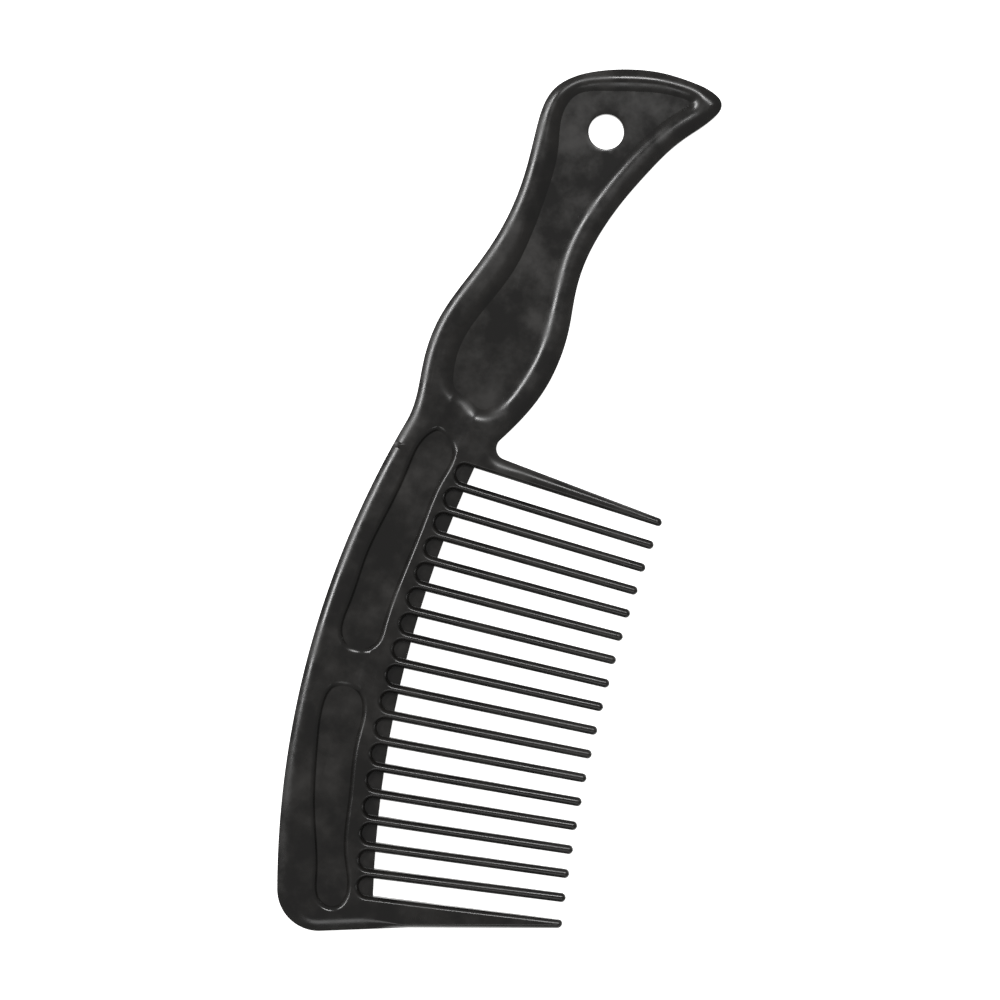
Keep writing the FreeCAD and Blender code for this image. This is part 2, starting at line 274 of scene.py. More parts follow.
def edge_height(share: np.ndarray) -> np.ndarray:
    """Height share of a rolled edge, at shares of its width in from the side."""
    return 1 - (1 - np.clip(share, 0, 1)) ** 2


class Edges:
    """Paths that the moulding rolls down to, with the width of the roll at each place."""

    def __init__(self) -> None:
        """Starts with no path."""
        self.paths: list[tuple[np.ndarray, np.ndarray, bool]] = []
        self._tree: KDTree | None = None

    def add(self, path: np.ndarray, widths: np.ndarray, closed: bool = False) -> None:
        """Adds a path and the roll's width at each of its places."""
        self.paths.append((path, widths, closed))

    def _index(self) -> None:
        """Makes the search tree and the neighbours of every place."""
        self._places = np.vstack([p for p, _, _ in self.paths])
        self._widths = np.concatenate([w for _, w, _ in self.paths])
        before, after, start = [], [], 0
        for path, _, closed in self.paths:
            rows = np.arange(start, start + len(path))
            back, on = np.roll(rows, 1), np.roll(rows, -1)
            if not closed:
                back[0], on[-1] = rows[0], rows[-1]
            before.append(back)
            after.append(on)
            start += len(path)
        self._before, self._after = np.concatenate(before), np.concatenate(after)
        self._tree = KDTree(len(self._places))
        for row, (x, y) in enumerate(self._places):
            self._tree.insert((x, y, 0), row)
        self._tree.balance()

    def measure(self, places: np.ndarray) -> tuple[np.ndarray, np.ndarray]:
        """Finds the nearest path for each place.

        Args:
            places: places in the drawing plane.

        Returns:
            Distance to the nearest path, and the height share that its roll gives there.
        """
        if self._tree is None:
            self._index()
        rows = np.array([self._tree.find((x, y, 0))[1] for x, y in places])
        best = np.full(len(places), np.inf)
        width = self._widths[rows].copy()
        for other in (self._before[rows], self._after[rows]):
            start, run = self._places[rows], self._places[other] - self._places[rows]
            size = np.maximum((run ** 2).sum(1), 1e-18)
            t = np.clip(((places - start) * run).sum(1) / size, 0, 1)
            distance = np.linalg.norm(places - start - run * t[:, None], axis=1)
            closer = distance < best
            best = np.where(closer, distance, best)
            mixed = self._widths[rows] * (1 - t) + self._widths[other] * t
            width = np.where(closer, mixed, width)
        return best, edge_height(best / width)


# ---- the comb's regions --------------------------------------------------------------------
@dataclass(frozen=True)
class MouldedSection:
    """How thick the moulding is, and how its edges roll over."""

    thickness: float = 5.6
    web: float = 2.4              # floor of the handle recess
    panel_depth: float = 1.1
    channel_depth: float = 0.55
    channel_width: float = 8.0
    pocket_web: float = 1.8
    land: float = 0.55            # share of the height that stays upright at the edges
    grip_roll: float = 3.2        # width of the roll along the handle and the back
    grip_lean: float = 0.4        # wider by this where it faces the crown, else slimmer
    tooth_roll: float = 1.15      # with the lean, no more than half a tooth's width
    tooth_lean: float = 0.05      # the same for the teeth and the pockets
    heel_roll: float = 4.5        # crowned corner at the far end of the back
    lip: float = 0.4              # rounding at the hanging hole

    @property
    def half(self) -> float:
        """Height of the rims above the parting plane."""
        return self.thickness / 2


@dataclass(frozen=True)
class ToothRow:
    """Inner teeth, on rays from a far centre, between a root arc and a tip arc."""

    count: int = 16
    pitch: float = 6.93
    fan_radius: float = 608.0
    fan_drop: float = 1.94
    root_width: float = 2.4
    tip_width: float = 2.3
    tip_height: float = 3.0
    nose_flat: float = 0.45
    root_setback: float = 8.05
    root_radius: float = 292.0
    root_drop: float = 6.74
    reach: float = 45.25
    tip_radius: float = 445.0
    tip_drop: float = 15.74
    shank_stations: int = 10
    nose_turns: tuple[int, ...] = (0, 12, 25, 38, 50, 62, 72, 80, 86)

    def axis_height(self, index: float) -> float:
        """Height of a tooth's axis on the datum line."""
        return self.pitch * (index - (self.count + 1) / 2)

    def axis_angle(self, height: float) -> float:
        """Degrees that the axis at a height leans from X."""
        return math.degrees(math.atan2(-(height + self.fan_drop), self.fan_radius))

    @staticmethod
    def _arc(nearest: float, radius: float, drop: float, y: float) -> float:
        """X of an arc that bulges towards -X."""
        return nearest + radius - math.sqrt(radius ** 2 - (y + drop) ** 2)

    def root_x(self, y: float) -> float:
        """X of the root arc at a height."""
        return self._arc(-self.root_setback, self.root_radius, self.root_drop, y)

    def tip_x(self, y: float) -> float:
        """X of the tip arc at a height."""
        return self._arc(self.reach, self.tip_radius, self.tip_drop, y)

    def meet_root(self, height: float, angle: float) -> tuple[float, float]:
        """Where a slanted edge through a datum height meets the root arc."""
        x = -self.root_setback
        for _ in range(ROUNDS):
            x = self.root_x(height + x * rise(angle))
        return x, height + x * rise(angle)

    def section(self, moulding: MouldedSection) -> list[tuple[float, float]]:
        """Half-width and half-height shares round a tooth's section, from side to side."""
        shares = np.array(ROLL_SHARES)
        up = moulding.land + (1 - moulding.land) * edge_height(shares)
        half = self.root_width / 2
        crown_side = 1 - shares * (moulding.tooth_roll + moulding.tooth_lean) / half
        heel_side = shares * (moulding.tooth_roll - moulding.tooth_lean) / half - 1
        over = list(zip(crown_side, up)) + list(zip(heel_side, up))[::-1]
        return over + [(v, -z) for v, z in reversed(over)]

    def blank(self, moulding: MouldedSection) -> bpy.types.Mesh:
        """One tooth in shares: X 0 to 1 along the shank and 1 to 2 round the nose."""
        ring = self.section(moulding)
        stations = [(s / self.shank_stations, 1.0) for s in range(self.shank_stations)]
        stations += [(1 + math.sin(math.radians(turn)) * NOSE_REACH,
                      math.cos(math.radians(turn)))
                     for turn in self.nose_turns]
        verts = [(x, v * share, up) for x, share in stations for v, up in ring]
        size = len(ring)
        faces = [tuple(range(size))[::-1]]
        for s in range(len(stations) - 1):
            for k in range(size):
                a, b = s * size + k, s * size + (k + 1) % size
                faces.append((a, b, b + size, a + size))
        pole = len(verts)
        verts.append((1 + NOSE_REACH, 0.0, 0.0))
        last = (len(stations) - 1) * size
        faces += [(last + k, last + (k + 1) % size, pole) for k in range(size)]
        mesh = bpy.data.meshes.new("tooth_blank")
        mesh.from_pydata(verts, [], faces)
        return mesh


@dataclass(frozen=True)
class GuardTeeth:
    """The slim guard tooth under the neck and the wedge at the far end."""

    row: ToothRow
    upper_gap: float = 4.63
    upper_width: float = 4.92
    upper_inner_angle: float = -5.6
    upper_outer_angle: float = -8.75
    upper_root: float = 7.6
    lower_gap: float = 4.81
    lower_inner_angle: float = 4.8
    lower_outer_angle: float = 11.7
    lower_bend: float = 7.5
    bottom_drop: float = 8.14
    bottom_angle: float = 14.2
    outer_roll: float = 2.4       # along the upper guard's outside, at its root

    @property
    def upper_inner(self) -> float:
        """Datum height of the upper guard's inner edge."""
        return self.row.axis_height(self.row.count) + self.row.root_width / 2 \
            + self.upper_gap

    @property
    def upper_outer(self) -> float:
        """Datum height of the upper guard's outer edge."""
        return self.upper_inner + self.upper_width

    @property
    def lower_inner(self) -> float:
        """Datum height of the lower guard's inner edge."""
        return self.row.axis_height(1) - self.row.root_width / 2 - self.lower_gap

    def bottom_y(self, x: float) -> float:
        """Height of the straight bottom edge."""
        return self.lower_inner - self.bottom_drop + x * rise(self.bottom_angle)

    def underside_y(self, x: float) -> float:
        """Height of the lower guard's underside, past its bend."""
        return self.bottom_y(self.lower_bend) \
            + (x - self.lower_bend) * rise(self.lower_outer_angle)

    def nose(self, low: Callable[[float], float], high: Callable[[float], float],
             end: float) -> tuple[np.ndarray, float]:
        """Rounded end between two edges.

        Args:
            low: Y of the lower edge for any X.
            high: Y of the upper edge for any X.
            end: X of the tip.

        Returns:
            Places round the nose from the lower edge to the upper, and its shoulder's X.
        """
        half = (high(end) - low(end)) / 2
        shoulder = end - half
        turns = np.radians(np.linspace(-90, 90, ARC_PLACES))
        x = shoulder + half * NOSE_REACH * np.cos(turns)
        places = [(a, (low(a) + high(a)) / 2 + (high(a) - low(a)) / 2 * math.sin(t))
                  for a, t in zip(x, turns)]
        return np.array(places), shoulder

    def upper_nose(self) -> tuple[np.ndarray, float]:
        """Nose of the upper guard tooth, and its shoulder."""
        end = self.row.tip_x(self.upper_inner + self.row.reach * rise(self.upper_inner_angle))
        return self.nose(lambda x: self.upper_inner + x * rise(self.upper_inner_angle),
                         lambda x: self.upper_outer + x * rise(self.upper_outer_angle), end)

    def lower_nose(self) -> tuple[np.ndarray, float]:
        """Nose of the lower guard tooth, and its shoulder."""
        end = self.row.tip_x(self.lower_inner + self.row.reach * rise(self.lower_inner_angle))
        return self.nose(self.underside_y,
                         lambda x: self.lower_inner + x * rise(self.lower_inner_angle), end)

    def gaps(self) -> list[tuple[float, float, float, float]]:
        """Datum height and angle of the flanks below and above each gap, from the far end.

        Returns:
            Height and angle of the flank below, then of the flank above, for each gap.
        """
        row = self.row
        lower = [(self.lower_inner, self.lower_inner_angle)]
        upper = []
        for index in range(1, row.count + 1):
            height = row.axis_height(index)
            angle = row.axis_angle(height)
            upper.append((height - row.root_width / 2, angle))
            lower.append((height + row.root_width / 2, angle))
        upper.append((self.upper_inner, self.upper_inner_angle))
        return [low + high for low, high in zip(lower, upper)]


@dataclass(frozen=True)
class Dish:
    """Recessed field with a sloping wall: its floor's outline, the wall's run and level."""

    floor: np.ndarray
    run: float
    level: float                  # of the floor, above the parting plane

    def rings(self) -> list[np.ndarray]:
        """Outlines up the wall, from the floor to the rim.

        Returns:
            The floor's outline and the rings.
        """
        out = -sideways(self.floor, True)
        if not inside(self.floor, self.floor[:1] - out[:1] * CLOSE)[0]:
            out = -out
        return [self.floor] + [self.floor + out * self.run * share for share in WALL_SHARES]

    def sink(self, places: np.ndarray, surface: np.ndarray) -> np.ndarray:
        """Lowers a surface into the dish.

        Args:
            places: places in the drawing plane.
            surface: the surface's height at each.

        Returns:
            Heights with the dish pressed into them.
        """
        edges = Edges()
        edges.add(self.floor, np.ones(len(self.floor)), closed=True)
        distance = edges.measure(places)[0]
        away = np.where(inside(self.floor, places), -distance, distance)
        return self.level + (surface - self.level) * edge_height(away / self.run)


@dataclass(frozen=True)
class Trough:
    """Shallow round-bottomed trough between two places."""

    start: tuple[float, float]
    end: tuple[float, float]
    width: float
    depth: float
    overrun: float = 3.0          # how far each end runs on into the field it joins

    def _axes(self) -> tuple[np.ndarray, np.ndarray, float]:
        """Unit direction along the trough, the one across it, and its length."""
        run = np.array(self.end) - np.array(self.start)
        length = float(np.linalg.norm(run))
        along = run / length
        return along, np.array([-along[1], along[0]]), length

    def lines(self) -> list[np.ndarray]:
        """Lines along the trough, the outer two at its sides.

        Returns:
            The lines, side to side.
        """
        along, across, length = self._axes()
        start = np.array(self.start) - along * self.overrun
        end = start + along * (length + 2 * self.overrun)
        shares = (-1, -0.75, -0.5, -0.25, 0, 0.25, 0.5, 0.75, 1)
        return [straight(tuple(start), tuple(end), spacing=0.5)
                + across * share * self.width / 2
                for share in shares]

    def sink(self, places: np.ndarray, surface: np.ndarray) -> np.ndarray:
        """Lowers a surface into the trough; the ends lie inside deeper fields.

        Args:
            places: places in the drawing plane.
            surface: the surface's height at each.

        Returns:
            Heights with the trough pressed into them.
        """
        along, across, length = self._axes()
        offset = places - np.array(self.start)
        reach, side = offset @ along, np.abs(offset @ across)
        radius = ((self.width / 2) ** 2 + self.depth ** 2) / (2 * self.depth)
        dip = self.depth - radius + np.sqrt(np.maximum(radius ** 2 - side ** 2, 0))
        on_line = (reach > -self.overrun) & (reach < length + self.overrun)
        dip = np.where((side < self.width / 2) & on_line, dip, 0)
        return surface - np.maximum(dip, 0)


@dataclass(frozen=True)
class Spine:
    """Curved back of the comb, with its two panels and the pockets behind the gaps."""

    row: ToothRow
    width: float = 25.69
    back_radius: float = 242.99
    back_drop: float = 11.74
    corner_round: float = 11.0
    pocket_depth: float = 4.0
    panel_run: float = 1.5        # of the wall round a panel
    panel_inset: float = 1.3      # of the panel's floor from its outline
    neck_lead: tuple[float, float] = (2, -6)       # from the upper rim's first point to
                                                   # the start of the neck's trough
    upper_rim: tuple = (
        (-12.3, 66.7), (-8.0, 64.6), (-6.1, 61.0), (-7.9, 52.3), (-9.9, 42.3),
        (-12.3, 28.3), (-14.5, 12.3), (-15.3, 7.4), (-18.0, 4.5), (-21.5, 3.6),
        (-25.2, 4.8), (-27.1, 8.0), (-26.6, 16.3), (-24.8, 30.3), (-21.8, 42.3),
        (-19.0, 54.3), (-16.0, 63.8))
    lower_rim: tuple = (
        (-21.8, -4.1), (-17.6, -5.5), (-15.5, -8.9), (-15.2, -18.0), (-13.9, -33.8),
        (-11.9, -48.8), (-9.4, -59.2), (-11.2, -63.2), (-15.0, -64.2), (-18.3, -62.3),
        (-20.3, -55.8), (-24.3, -39.8), (-27.3, -21.8), (-28.0, -12.0), (-26.0, -5.6))

    def bridge(self) -> tuple[tuple[float, float], tuple[float, float]]:
        """Lowest point of the upper rim and highest of the lower, which a trough joins."""
        return min(self.upper_rim, key=lambda p: p[1]), max(self.lower_rim, key=lambda p: p[1])

    def back_x(self, y: float) -> float:
        """X of the back edge at a height."""
        nearest = -self.row.root_setback - self.width
        return nearest + self.back_radius \
            - math.sqrt(self.back_radius ** 2 - (y + self.back_drop) ** 2)

    def back(self, top: float, bottom: float) -> np.ndarray:
        """Back edge from one height down to another."""
        heights = np.arange(top, bottom, -CLOSE)
        return np.array([(self.back_x(y), y) for y in heights] + [(self.back_x(bottom),
                                                                  bottom)])

    def panel(self, rim: tuple, section: MouldedSection) -> Dish:
        """Recessed panel inside a rim.

        Args:
            rim: points that the panel's outline passes through.
            section: the moulding's section.

        Returns:
            The panel.
        """
        outline = spline(np.array(rim), True)
        inward = -sideways(outline, True)
        if not inside(outline, outline[:1] + inward[:1] * CLOSE)[0]:
            inward = -inward
        floor = outline + inward * self.panel_inset
        floor = floor[even_out(floor, closed=True, spacing=1.0, turn=7)]
        return Dish(floor, self.panel_run, section.half - section.panel_depth)

    def pocket(self, gap: tuple[float, float, float, float]) -> np.ndarray:
        """Wall line of the pocket behind a gap.

        Args:
            gap: datum height and angle of the flanks below and above.

        Returns:
            Places from the root arc on the lower flank round to the upper flank.
        """
        low, low_angle, high, high_angle = gap
        angle = (low_angle + high_angle) / 2
        x, y = self.row.meet_root((low + high) / 2, angle)
        half = (high - low) / 2
        spread = (rise(high_angle) - rise(low_angle)) / 2
        half_back = half + spread * (x - self.pocket_depth + half)
        centre = -self.pocket_depth + half_back
        turns = np.radians(np.linspace(270, 90, BEND_PLACES))
        bend = np.stack([centre + half_back * np.cos(turns), half_back * np.sin(turns)],
                        axis=1)
        cos, sin = math.cos(math.radians(angle)), math.sin(math.radians(angle))
        bend = bend @ np.array([[cos, sin], [-sin, cos]]) + np.array([x, y])
        start = self.row.meet_root(low, low_angle)
        end = self.row.meet_root(high, high_angle)
        return np.vstack([straight(start, tuple(bend[0]), ROOT_STEP)[:-1], bend,
                          straight(tuple(bend[-1]), end, ROOT_STEP)[1:]])

    def pocket_ring(self, gap: tuple[float, float, float, float], reach: np.ndarray
                    ) -> np.ndarray:
        """Wall line of a pocket, moved out of it by a reach at each place.

        Args:
            gap: datum height and angle of the flanks below and above.
            reach: how far each place of the wall line moves.

        Returns:
            The moved line, with its ends still on the root arc.
        """
        wall = self.pocket(gap)
        ring = wall + sideways(wall, False) * reach[:, None]
        low, low_angle, high, high_angle = gap
        ring[0] = self.row.meet_root(low - reach[0] / math.cos(math.radians(low_angle)),
                                     low_angle)
        ring[-1] = self.row.meet_root(high + reach[-1] / math.cos(math.radians(high_angle)),
                                      high_angle)
        return ring

    def pocket_rolls(self, wall: np.ndarray, moulding: MouldedSection) -> np.ndarray:
        """Width of the roll at each place of a pocket's wall line."""
        facing = -sideways(wall, False)[:, 1]
        return moulding.tooth_roll + moulding.tooth_lean * facing


@dataclass(frozen=True)
class Handle:
    """Grip with a beak, one long recess and a hanging hole."""

    neck_level: float
    length: float = 103.8
    neck_round: float = 3.0
    recess_run: float = 3.8
    hole_radius: float = 4.65
    hole_across: float = 14.8
    hole_below_crown: float = 18.2
    neck_slant: float = 1.43      # rise over run of the grip's last stretch to the guard
    neck_end: tuple[float, float] = (-6.0, 9.0)    # of the floor, where a trough comes in
    edge: tuple = (
        (-19.7, 7.0), (-19.8, 16.0), (-18.2, 28.0), (-12.25, 42.0), (-7.27, 54.0),
        (-4.2, 68.0), (-3.45, 82.0), (-0.87, 94.0), (3.46, 98.0), (10.0, 101.0),
        (18.0, 103.05), (26.0, 103.8), (34.0, 103.1), (41.0, 101.1), (42.9, 99.4),
        (43.15, 97.7), (42.4, 96.0), (34.4, 87.0), (28.17, 78.0), (23.12, 69.0),
        (19.18, 60.0), (16.6, 51.0), (15.77, 42.0), (16.06, 33.0), (15.29, 24.0),
        (12.83, 15.0), (8.24, 6.0))
    floor: tuple = (
        (2.8, 66.0), (3.3, 79.0), (2.6, 87.5), (5.0, 93.3), (12.0, 96.0), (22.0, 97.9),
        (32.0, 98.4), (34.8, 97.6), (33.2, 95.6), (27.0, 89.0), (20.0, 78.5), (14.0, 66.5),
        (10.1, 54.0), (9.2, 39.0), (7.8, 24.0), (4.5, 14.5), (0.4, 8.3), (-2.0, 7.1),
        (-6.0, 9.0), (-10.3, 11.3), (-11.3, 14.5), (-10.7, 24.0), (-6.5, 34.0),
        (-1.7, 44.0), (1.0, 54.0))

    def raised(self, points: tuple) -> np.ndarray:
        """Handle points in the drawing plane."""
        return np.array(points) + np.array([0, self.neck_level])

    @property
    def hole(self) -> tuple[float, float]:
        """Centre of the hanging hole."""
        return self.hole_across, self.neck_level + self.length - self.hole_below_crown

    def recess(self, section: MouldedSection) -> Dish:
        """Long recess of the grip."""
        floor = spline(self.raised(self.floor), True)
        floor = floor[even_out(floor, closed=True, spacing=0.7, turn=7)]
        return Dish(floor, self.recess_run, section.web / 2)


class Region(Enum):
    """Pieces that the relief is divided into, with the CAD node that each stands for."""

    HANDLE = "handle"
    SPINE = "spine"
    UPPER_GUARD = "upper_guard_tooth"
    LOWER_GUARD = "lower_guard_tooth"


@dataclass
class Relief:
    """Handle, spine and guard teeth as one modelled sheet, mirrored about the parting plane.

    The sheet is triangulated between rings that follow every edge, wall and trough, and its
    height comes from one rule, so that neighbouring pieces share their surface exactly.
    """

    section: MouldedSection
    row: ToothRow
    guards: GuardTeeth
    spine: Spine
    handle: Handle
    neck_split_rise: float = 2.0
    grid: float = 1.25            # spacing of the free points between rings
    clearance: float = 0.55       # of a free point from the rings
    neck_margin: float = 1.0      # below the neck's level, where the teeth's rules end
    heel_start: float = 5.0       # below the datum, where the back's roll starts to widen
    heel_blend: float = 45.0      # mm over which it does
    guard_lead: float = 6.0       # short of the upper guard's root, where its roll slims
    guard_blend: float = 10.0     # mm over which a guard's roll slims
    outer_blend: float = 30.0     # mm over which the upper guard's outer roll slims
    on_edge: float = 0.02         # a place this close to a flank's line counts as on it
    nose_blend: float = 1.5       # mm before a nose over which the roll slims
    nose_roll: float = 1.1        # widest roll round a nose
    pocket_zone: tuple[float, float] = (8, 2)      # behind the root arc, and X in front
    upper_cut: tuple[float, float] = (56.0, 64.0)  # Y ends of the cut at the upper guard
    lower_cut: float = 20.0       # length of the cut at the lower guard
    far: float = 100.0            # X beyond both sides of the handle
    outside: list[Edges] = field(default_factory=lambda: [Edges(), Edges()])
    pockets: list[Edges] = field(default_factory=lambda: [Edges(), Edges()])

    def __post_init__(self) -> None:
        """Draws the outline, the pockets, the dishes and the troughs.

        Edges that face each other across a tooth are kept in different sets, so that a
        place on the tooth takes the lower of the two rolls.
        """
        self.gap_list = self.guards.gaps()
        self.outline = self._outer_edge()
        self.widths = self._roll_widths(self.outline)
        x, y = self.outline.T
        on_guard = (y > 0) & (y <= self.handle.neck_level)
        first = int(np.argmax(np.where(on_guard, x, -np.inf)))
        last = int(np.argmax(np.where(y < 0, x, -np.inf)))
        for start, end, edges in ((0, first + 1, self.outside[0]),
                                  (first, last + 1, self.outside[1]),
                                  (last, len(self.outline), self.outside[0])):
            edges.add(self.outline[start:end], self.widths[start:end])
        for number, gap in enumerate(self.gap_list):
            wall = self.spine.pocket(gap)
            self.pockets[number % 2].add(wall, self.spine.pocket_rolls(wall, self.section))
        self.dishes = [self.spine.panel(self.spine.upper_rim, self.section),
                       self.spine.panel(self.spine.lower_rim, self.section),
                       self.handle.recess(self.section)]
        top, lead = self.spine.upper_rim[0], self.spine.neck_lead
        neck_in = self.handle.raised(self.handle.neck_end)
        size = (self.section.channel_width, self.section.channel_depth)
        self.troughs = [Trough((top[0] + lead[0], top[1] + lead[1]), tuple(neck_in), *size),
                        Trough(*self.spine.bridge(), *size)]

    def _outer_edge(self) -> np.ndarray:
        """Outside of the moulding, anticlockwise between the two ends of the root arc.

        Returns:
            The places of the outer edge.
        """
        guards, row, spine, handle = self.guards, self.row, self.spine, self.handle
        start = row.meet_root(guards.upper_inner, guards.upper_inner_angle)
        end = row.meet_root(guards.lower_inner, guards.lower_inner_angle)
        upper_nose, _ = guards.upper_nose()
        lower_nose, _ = guards.lower_nose()
        side = handle.raised(handle.edge)
        slant = handle.neck_slant
        outer, x1, y1 = guards.upper_outer, *side[-1]
        x = (outer - y1 + slant * x1) / (slant - rise(guards.upper_outer_angle))
        neck = (x, outer + x * rise(guards.upper_outer_angle))
        neck_back = (spine.back_x(handle.neck_level), handle.neck_level)
        step = 0.01
        up = np.array([spine.back_x(handle.neck_level + step) - neck_back[0], step])
        grip = spline(np.vstack([[neck_back], side, [neck]]), False, up / np.linalg.norm(up))
        into_neck = np.vstack([straight(start, tuple(upper_nose[0])), upper_nose[1:-1],
                               straight(tuple(upper_nose[-1]), neck)])
        path = round_corner(into_neck, grip[::-1], handle.neck_round, hollow=True)
        heel_x = -row.root_setback - spine.width
        for _ in range(ROUNDS):
            heel_x = spine.back_x(guards.bottom_y(heel_x))
        back = spine.back(handle.neck_level, guards.bottom_y(heel_x))
        bend = (guards.lower_bend, guards.bottom_y(guards.lower_bend))
        below = np.vstack([straight((heel_x, guards.bottom_y(heel_x)), bend)[:-1],
                           straight(bend, tuple(lower_nose[0])), lower_nose[1:-1],
                           straight(tuple(lower_nose[-1]), end)])
        heel = round_corner(back, below, spine.corner_round, hollow=False)
        path = np.vstack([path[:-1], heel])
        return path[even_out(path, closed=False, spacing=0.9, turn=7)]

    def _roll_widths(self, path: np.ndarray) -> np.ndarray:
        """Width of the roll along the outside: slim on the teeth, full on the heel.

        Args:
            path: places of the outer edge.

        Returns:
            The width at each place.
        """
        section, guards = self.section, self.guards
        x, y = path[:, 0], path[:, 1]
        facing = -sideways(path, False)[:, 1]
        low = np.clip((-y - self.heel_start) / self.heel_blend, 0, 1)
        grip = section.grip_roll + section.grip_lean * facing
        grip = grip + (section.heel_roll - section.grip_roll) * low
        tooth = section.tooth_roll + section.tooth_lean * facing
        on_row = y < self.handle.neck_level - self.neck_margin
        start = np.where(y > 0, guards.upper_root - self.guard_lead, -section.heel_roll)
        row_share = np.where(on_row, np.clip((x - start) / self.guard_blend, 0, 1), 0)
        inner_low = guards.lower_inner + x * rise(guards.lower_inner_angle)
        inner_high = guards.upper_inner + x * rise(guards.upper_inner_angle)
        inner = (np.abs(y - inner_low) < self.on_edge) \
            | (np.abs(y - inner_high) < self.on_edge)
        row_share = np.where(inner, 1, row_share)
        slim = np.where((y > 0) & ~inner & (facing > 0),
                        tooth + (guards.outer_roll - section.tooth_roll)
                        * np.clip(1 - (x - guards.upper_root) / self.outer_blend, 0, 1),
                        tooth)
        widths = grip + (slim - grip) * row_share
        shoulder = np.where(y > 0, guards.upper_nose()[1], guards.lower_nose()[1])
        near_nose = np.clip((x - shoulder) / self.nose_blend + 1, 0, 1)
        at_nose = np.where(on_row, near_nose, 0)
        slimmest = np.minimum(widths, self.nose_roll)
        return widths + (slimmest - widths) * at_nose

    def _outer_ring(self, share: float) -> np.ndarray:
        """One ring beside the outer edge; its ends slide along the root arc.

        Args:
            share: how far in the ring lies, as a share of the roll.

        Returns:
            The ring's places.
        """
        reach = self.widths * share
        ring = self.outline + sideways(self.outline, False) * reach[:, None]
        guards = self.guards
        for place, height, angle, way in (
                (0, guards.upper_inner, guards.upper_inner_angle, 1),
                (-1, guards.lower_inner, guards.lower_inner_angle, -1)):
            shifted = height + way * reach[place] / math.cos(math.radians(angle))
            ring[place] = self.row.meet_root(shifted, angle)
        return ring

    def _root_arc(self, ends: list) -> np.ndarray:
        """Root arc through the ends of all rings, from the lower guard to the upper.

        Args:
            ends: where the rings end on the arc.

        Returns:
            Places along the arc.
        """
        heights = sorted(y for _, y in ends)
        low, high = self.outline[-1][1], self.outline[0][1]
        keep = [y for y in heights if low + 1e-6 < y < high - 1e-6]
        filled = [low]
        for y in keep + [high]:
            if y - filled[-1] > MERGE:
                pieces = max(1, int((y - filled[-1]) / ROOT_STEP))
                step = (y - filled[-1]) / pieces
                filled += [filled[-1] + step * (i + 1) for i in range(pieces)]
        return np.array([(self.row.root_x(y), y) for y in filled])

    def heights(self, places: np.ndarray) -> np.ndarray:
        """Height of the moulding's upper face above the parting plane.

        Args:
            places: places in the drawing plane.

        Returns:
            The height at each place.
        """
        section, row, guards = self.section, self.row, self.guards
        x, y = places[:, 0], places[:, 1]
        measured = [edges.measure(places) for edges in self.outside + self.pockets]
        roll = np.min([share for _, share in measured], axis=0)
        by_pocket = np.argmin([distance for distance, _ in measured], axis=0) > 1
        top = np.full(len(places), section.half)
        for trough in self.troughs:
            top = trough.sink(places, top)
        for dish in self.dishes:
            top = dish.sink(places, top)
        on_guard = y < self.handle.neck_level
        for root, shoulder, side in (
                (guards.upper_root, guards.upper_nose()[1], y > 0),
                (guards.lower_bend, guards.lower_nose()[1], y < 0)):
            along = np.clip((x - root) / (shoulder - root), 0, 1)
            taper = 1 - (1 - row.tip_height / section.thickness) * along
            top = np.where(on_guard & side, top * taper, top)
        height = top * (section.land + (1 - section.land) * roll)
        web = section.pocket_web / 2
        in_gap = np.zeros(len(places), bool)
        behind, ahead = self.pocket_zone
        near = (x > row.root_x(0) - behind) & (x < ahead) & on_guard
        rows = np.flatnonzero(near)
        for gap in self.gap_list:
            reach = np.full(len(self.spine.pocket(gap)), -POCKET_FOOT / 2)
            in_gap[rows] |= inside(self.spine.pocket_ring(gap, reach), places[rows])
        height = np.where(by_pocket & (height < web), web, height)
        height = np.where(in_gap, web, height)
        gap_to_hole = np.hypot(x - self.handle.hole[0], y - self.handle.hole[1]) \
            - self.handle.hole_radius
        t = np.clip(gap_to_hole / section.lip, 0, 1)
        lip = section.web / 2 - section.lip * (1 - np.sqrt(np.maximum(1 - (1 - t) ** 2, 0)))
        return np.where(gap_to_hole < section.lip, np.minimum(height, lip), height)

    def triangulate(self) -> tuple[np.ndarray, np.ndarray]:
        """Makes the flat triangles of the sheet.

        Returns:
            Places in the drawing plane, and triangles as rows of place numbers.
        """
        rings = [self._outer_ring(share) for share in ROLL_SHARES[1:]]
        pockets = []
        for gap in self.gap_list:
            rolls = self.spine.pocket_rolls(self.spine.pocket(gap), self.section)
            pockets += [self.spine.pocket_ring(gap, rolls * share) for share in ROLL_SHARES]
            pockets.append(self.spine.pocket_ring(gap, np.full(len(rolls), -POCKET_FOOT)))
        ends = [p for ring in rings + pockets for p in (ring[0], ring[-1])]
        arc = self._root_arc(ends)
        boundary = np.vstack([self.outline[:-1], arc[:-1]])
        turns = np.linspace(0, 2 * math.pi, HOLE_PLACES, endpoint=False)
        circle = np.stack([np.cos(turns), np.sin(turns)], axis=1)
        hole = np.array(self.handle.hole)
        hole_rings = [hole + circle * (self.handle.hole_radius + self.section.lip * share)
                      for share in LIP_SHARES]
        loops = [boundary] + hole_rings
        loops += [ring for dish in self.dishes for ring in dish.rings()]
        level = self.handle.neck_level + self.neck_split_rise
        cuts = [np.array([(-self.far, level), (self.far, level)]),
                np.array([(self.guards.upper_root, y) for y in self.upper_cut]),
                np.array([(arc[0][0], arc[0][1]), (arc[0][0], arc[0][1] - self.lower_cut)])]
        paths = rings + pockets + cuts
        paths += [line for trough in self.troughs for line in trough.lines()]
        places, links, start = [], [], 0
        for path, closed in [(p, True) for p in loops] + [(p, False) for p in paths]:
            rows = np.arange(start, start + len(path))
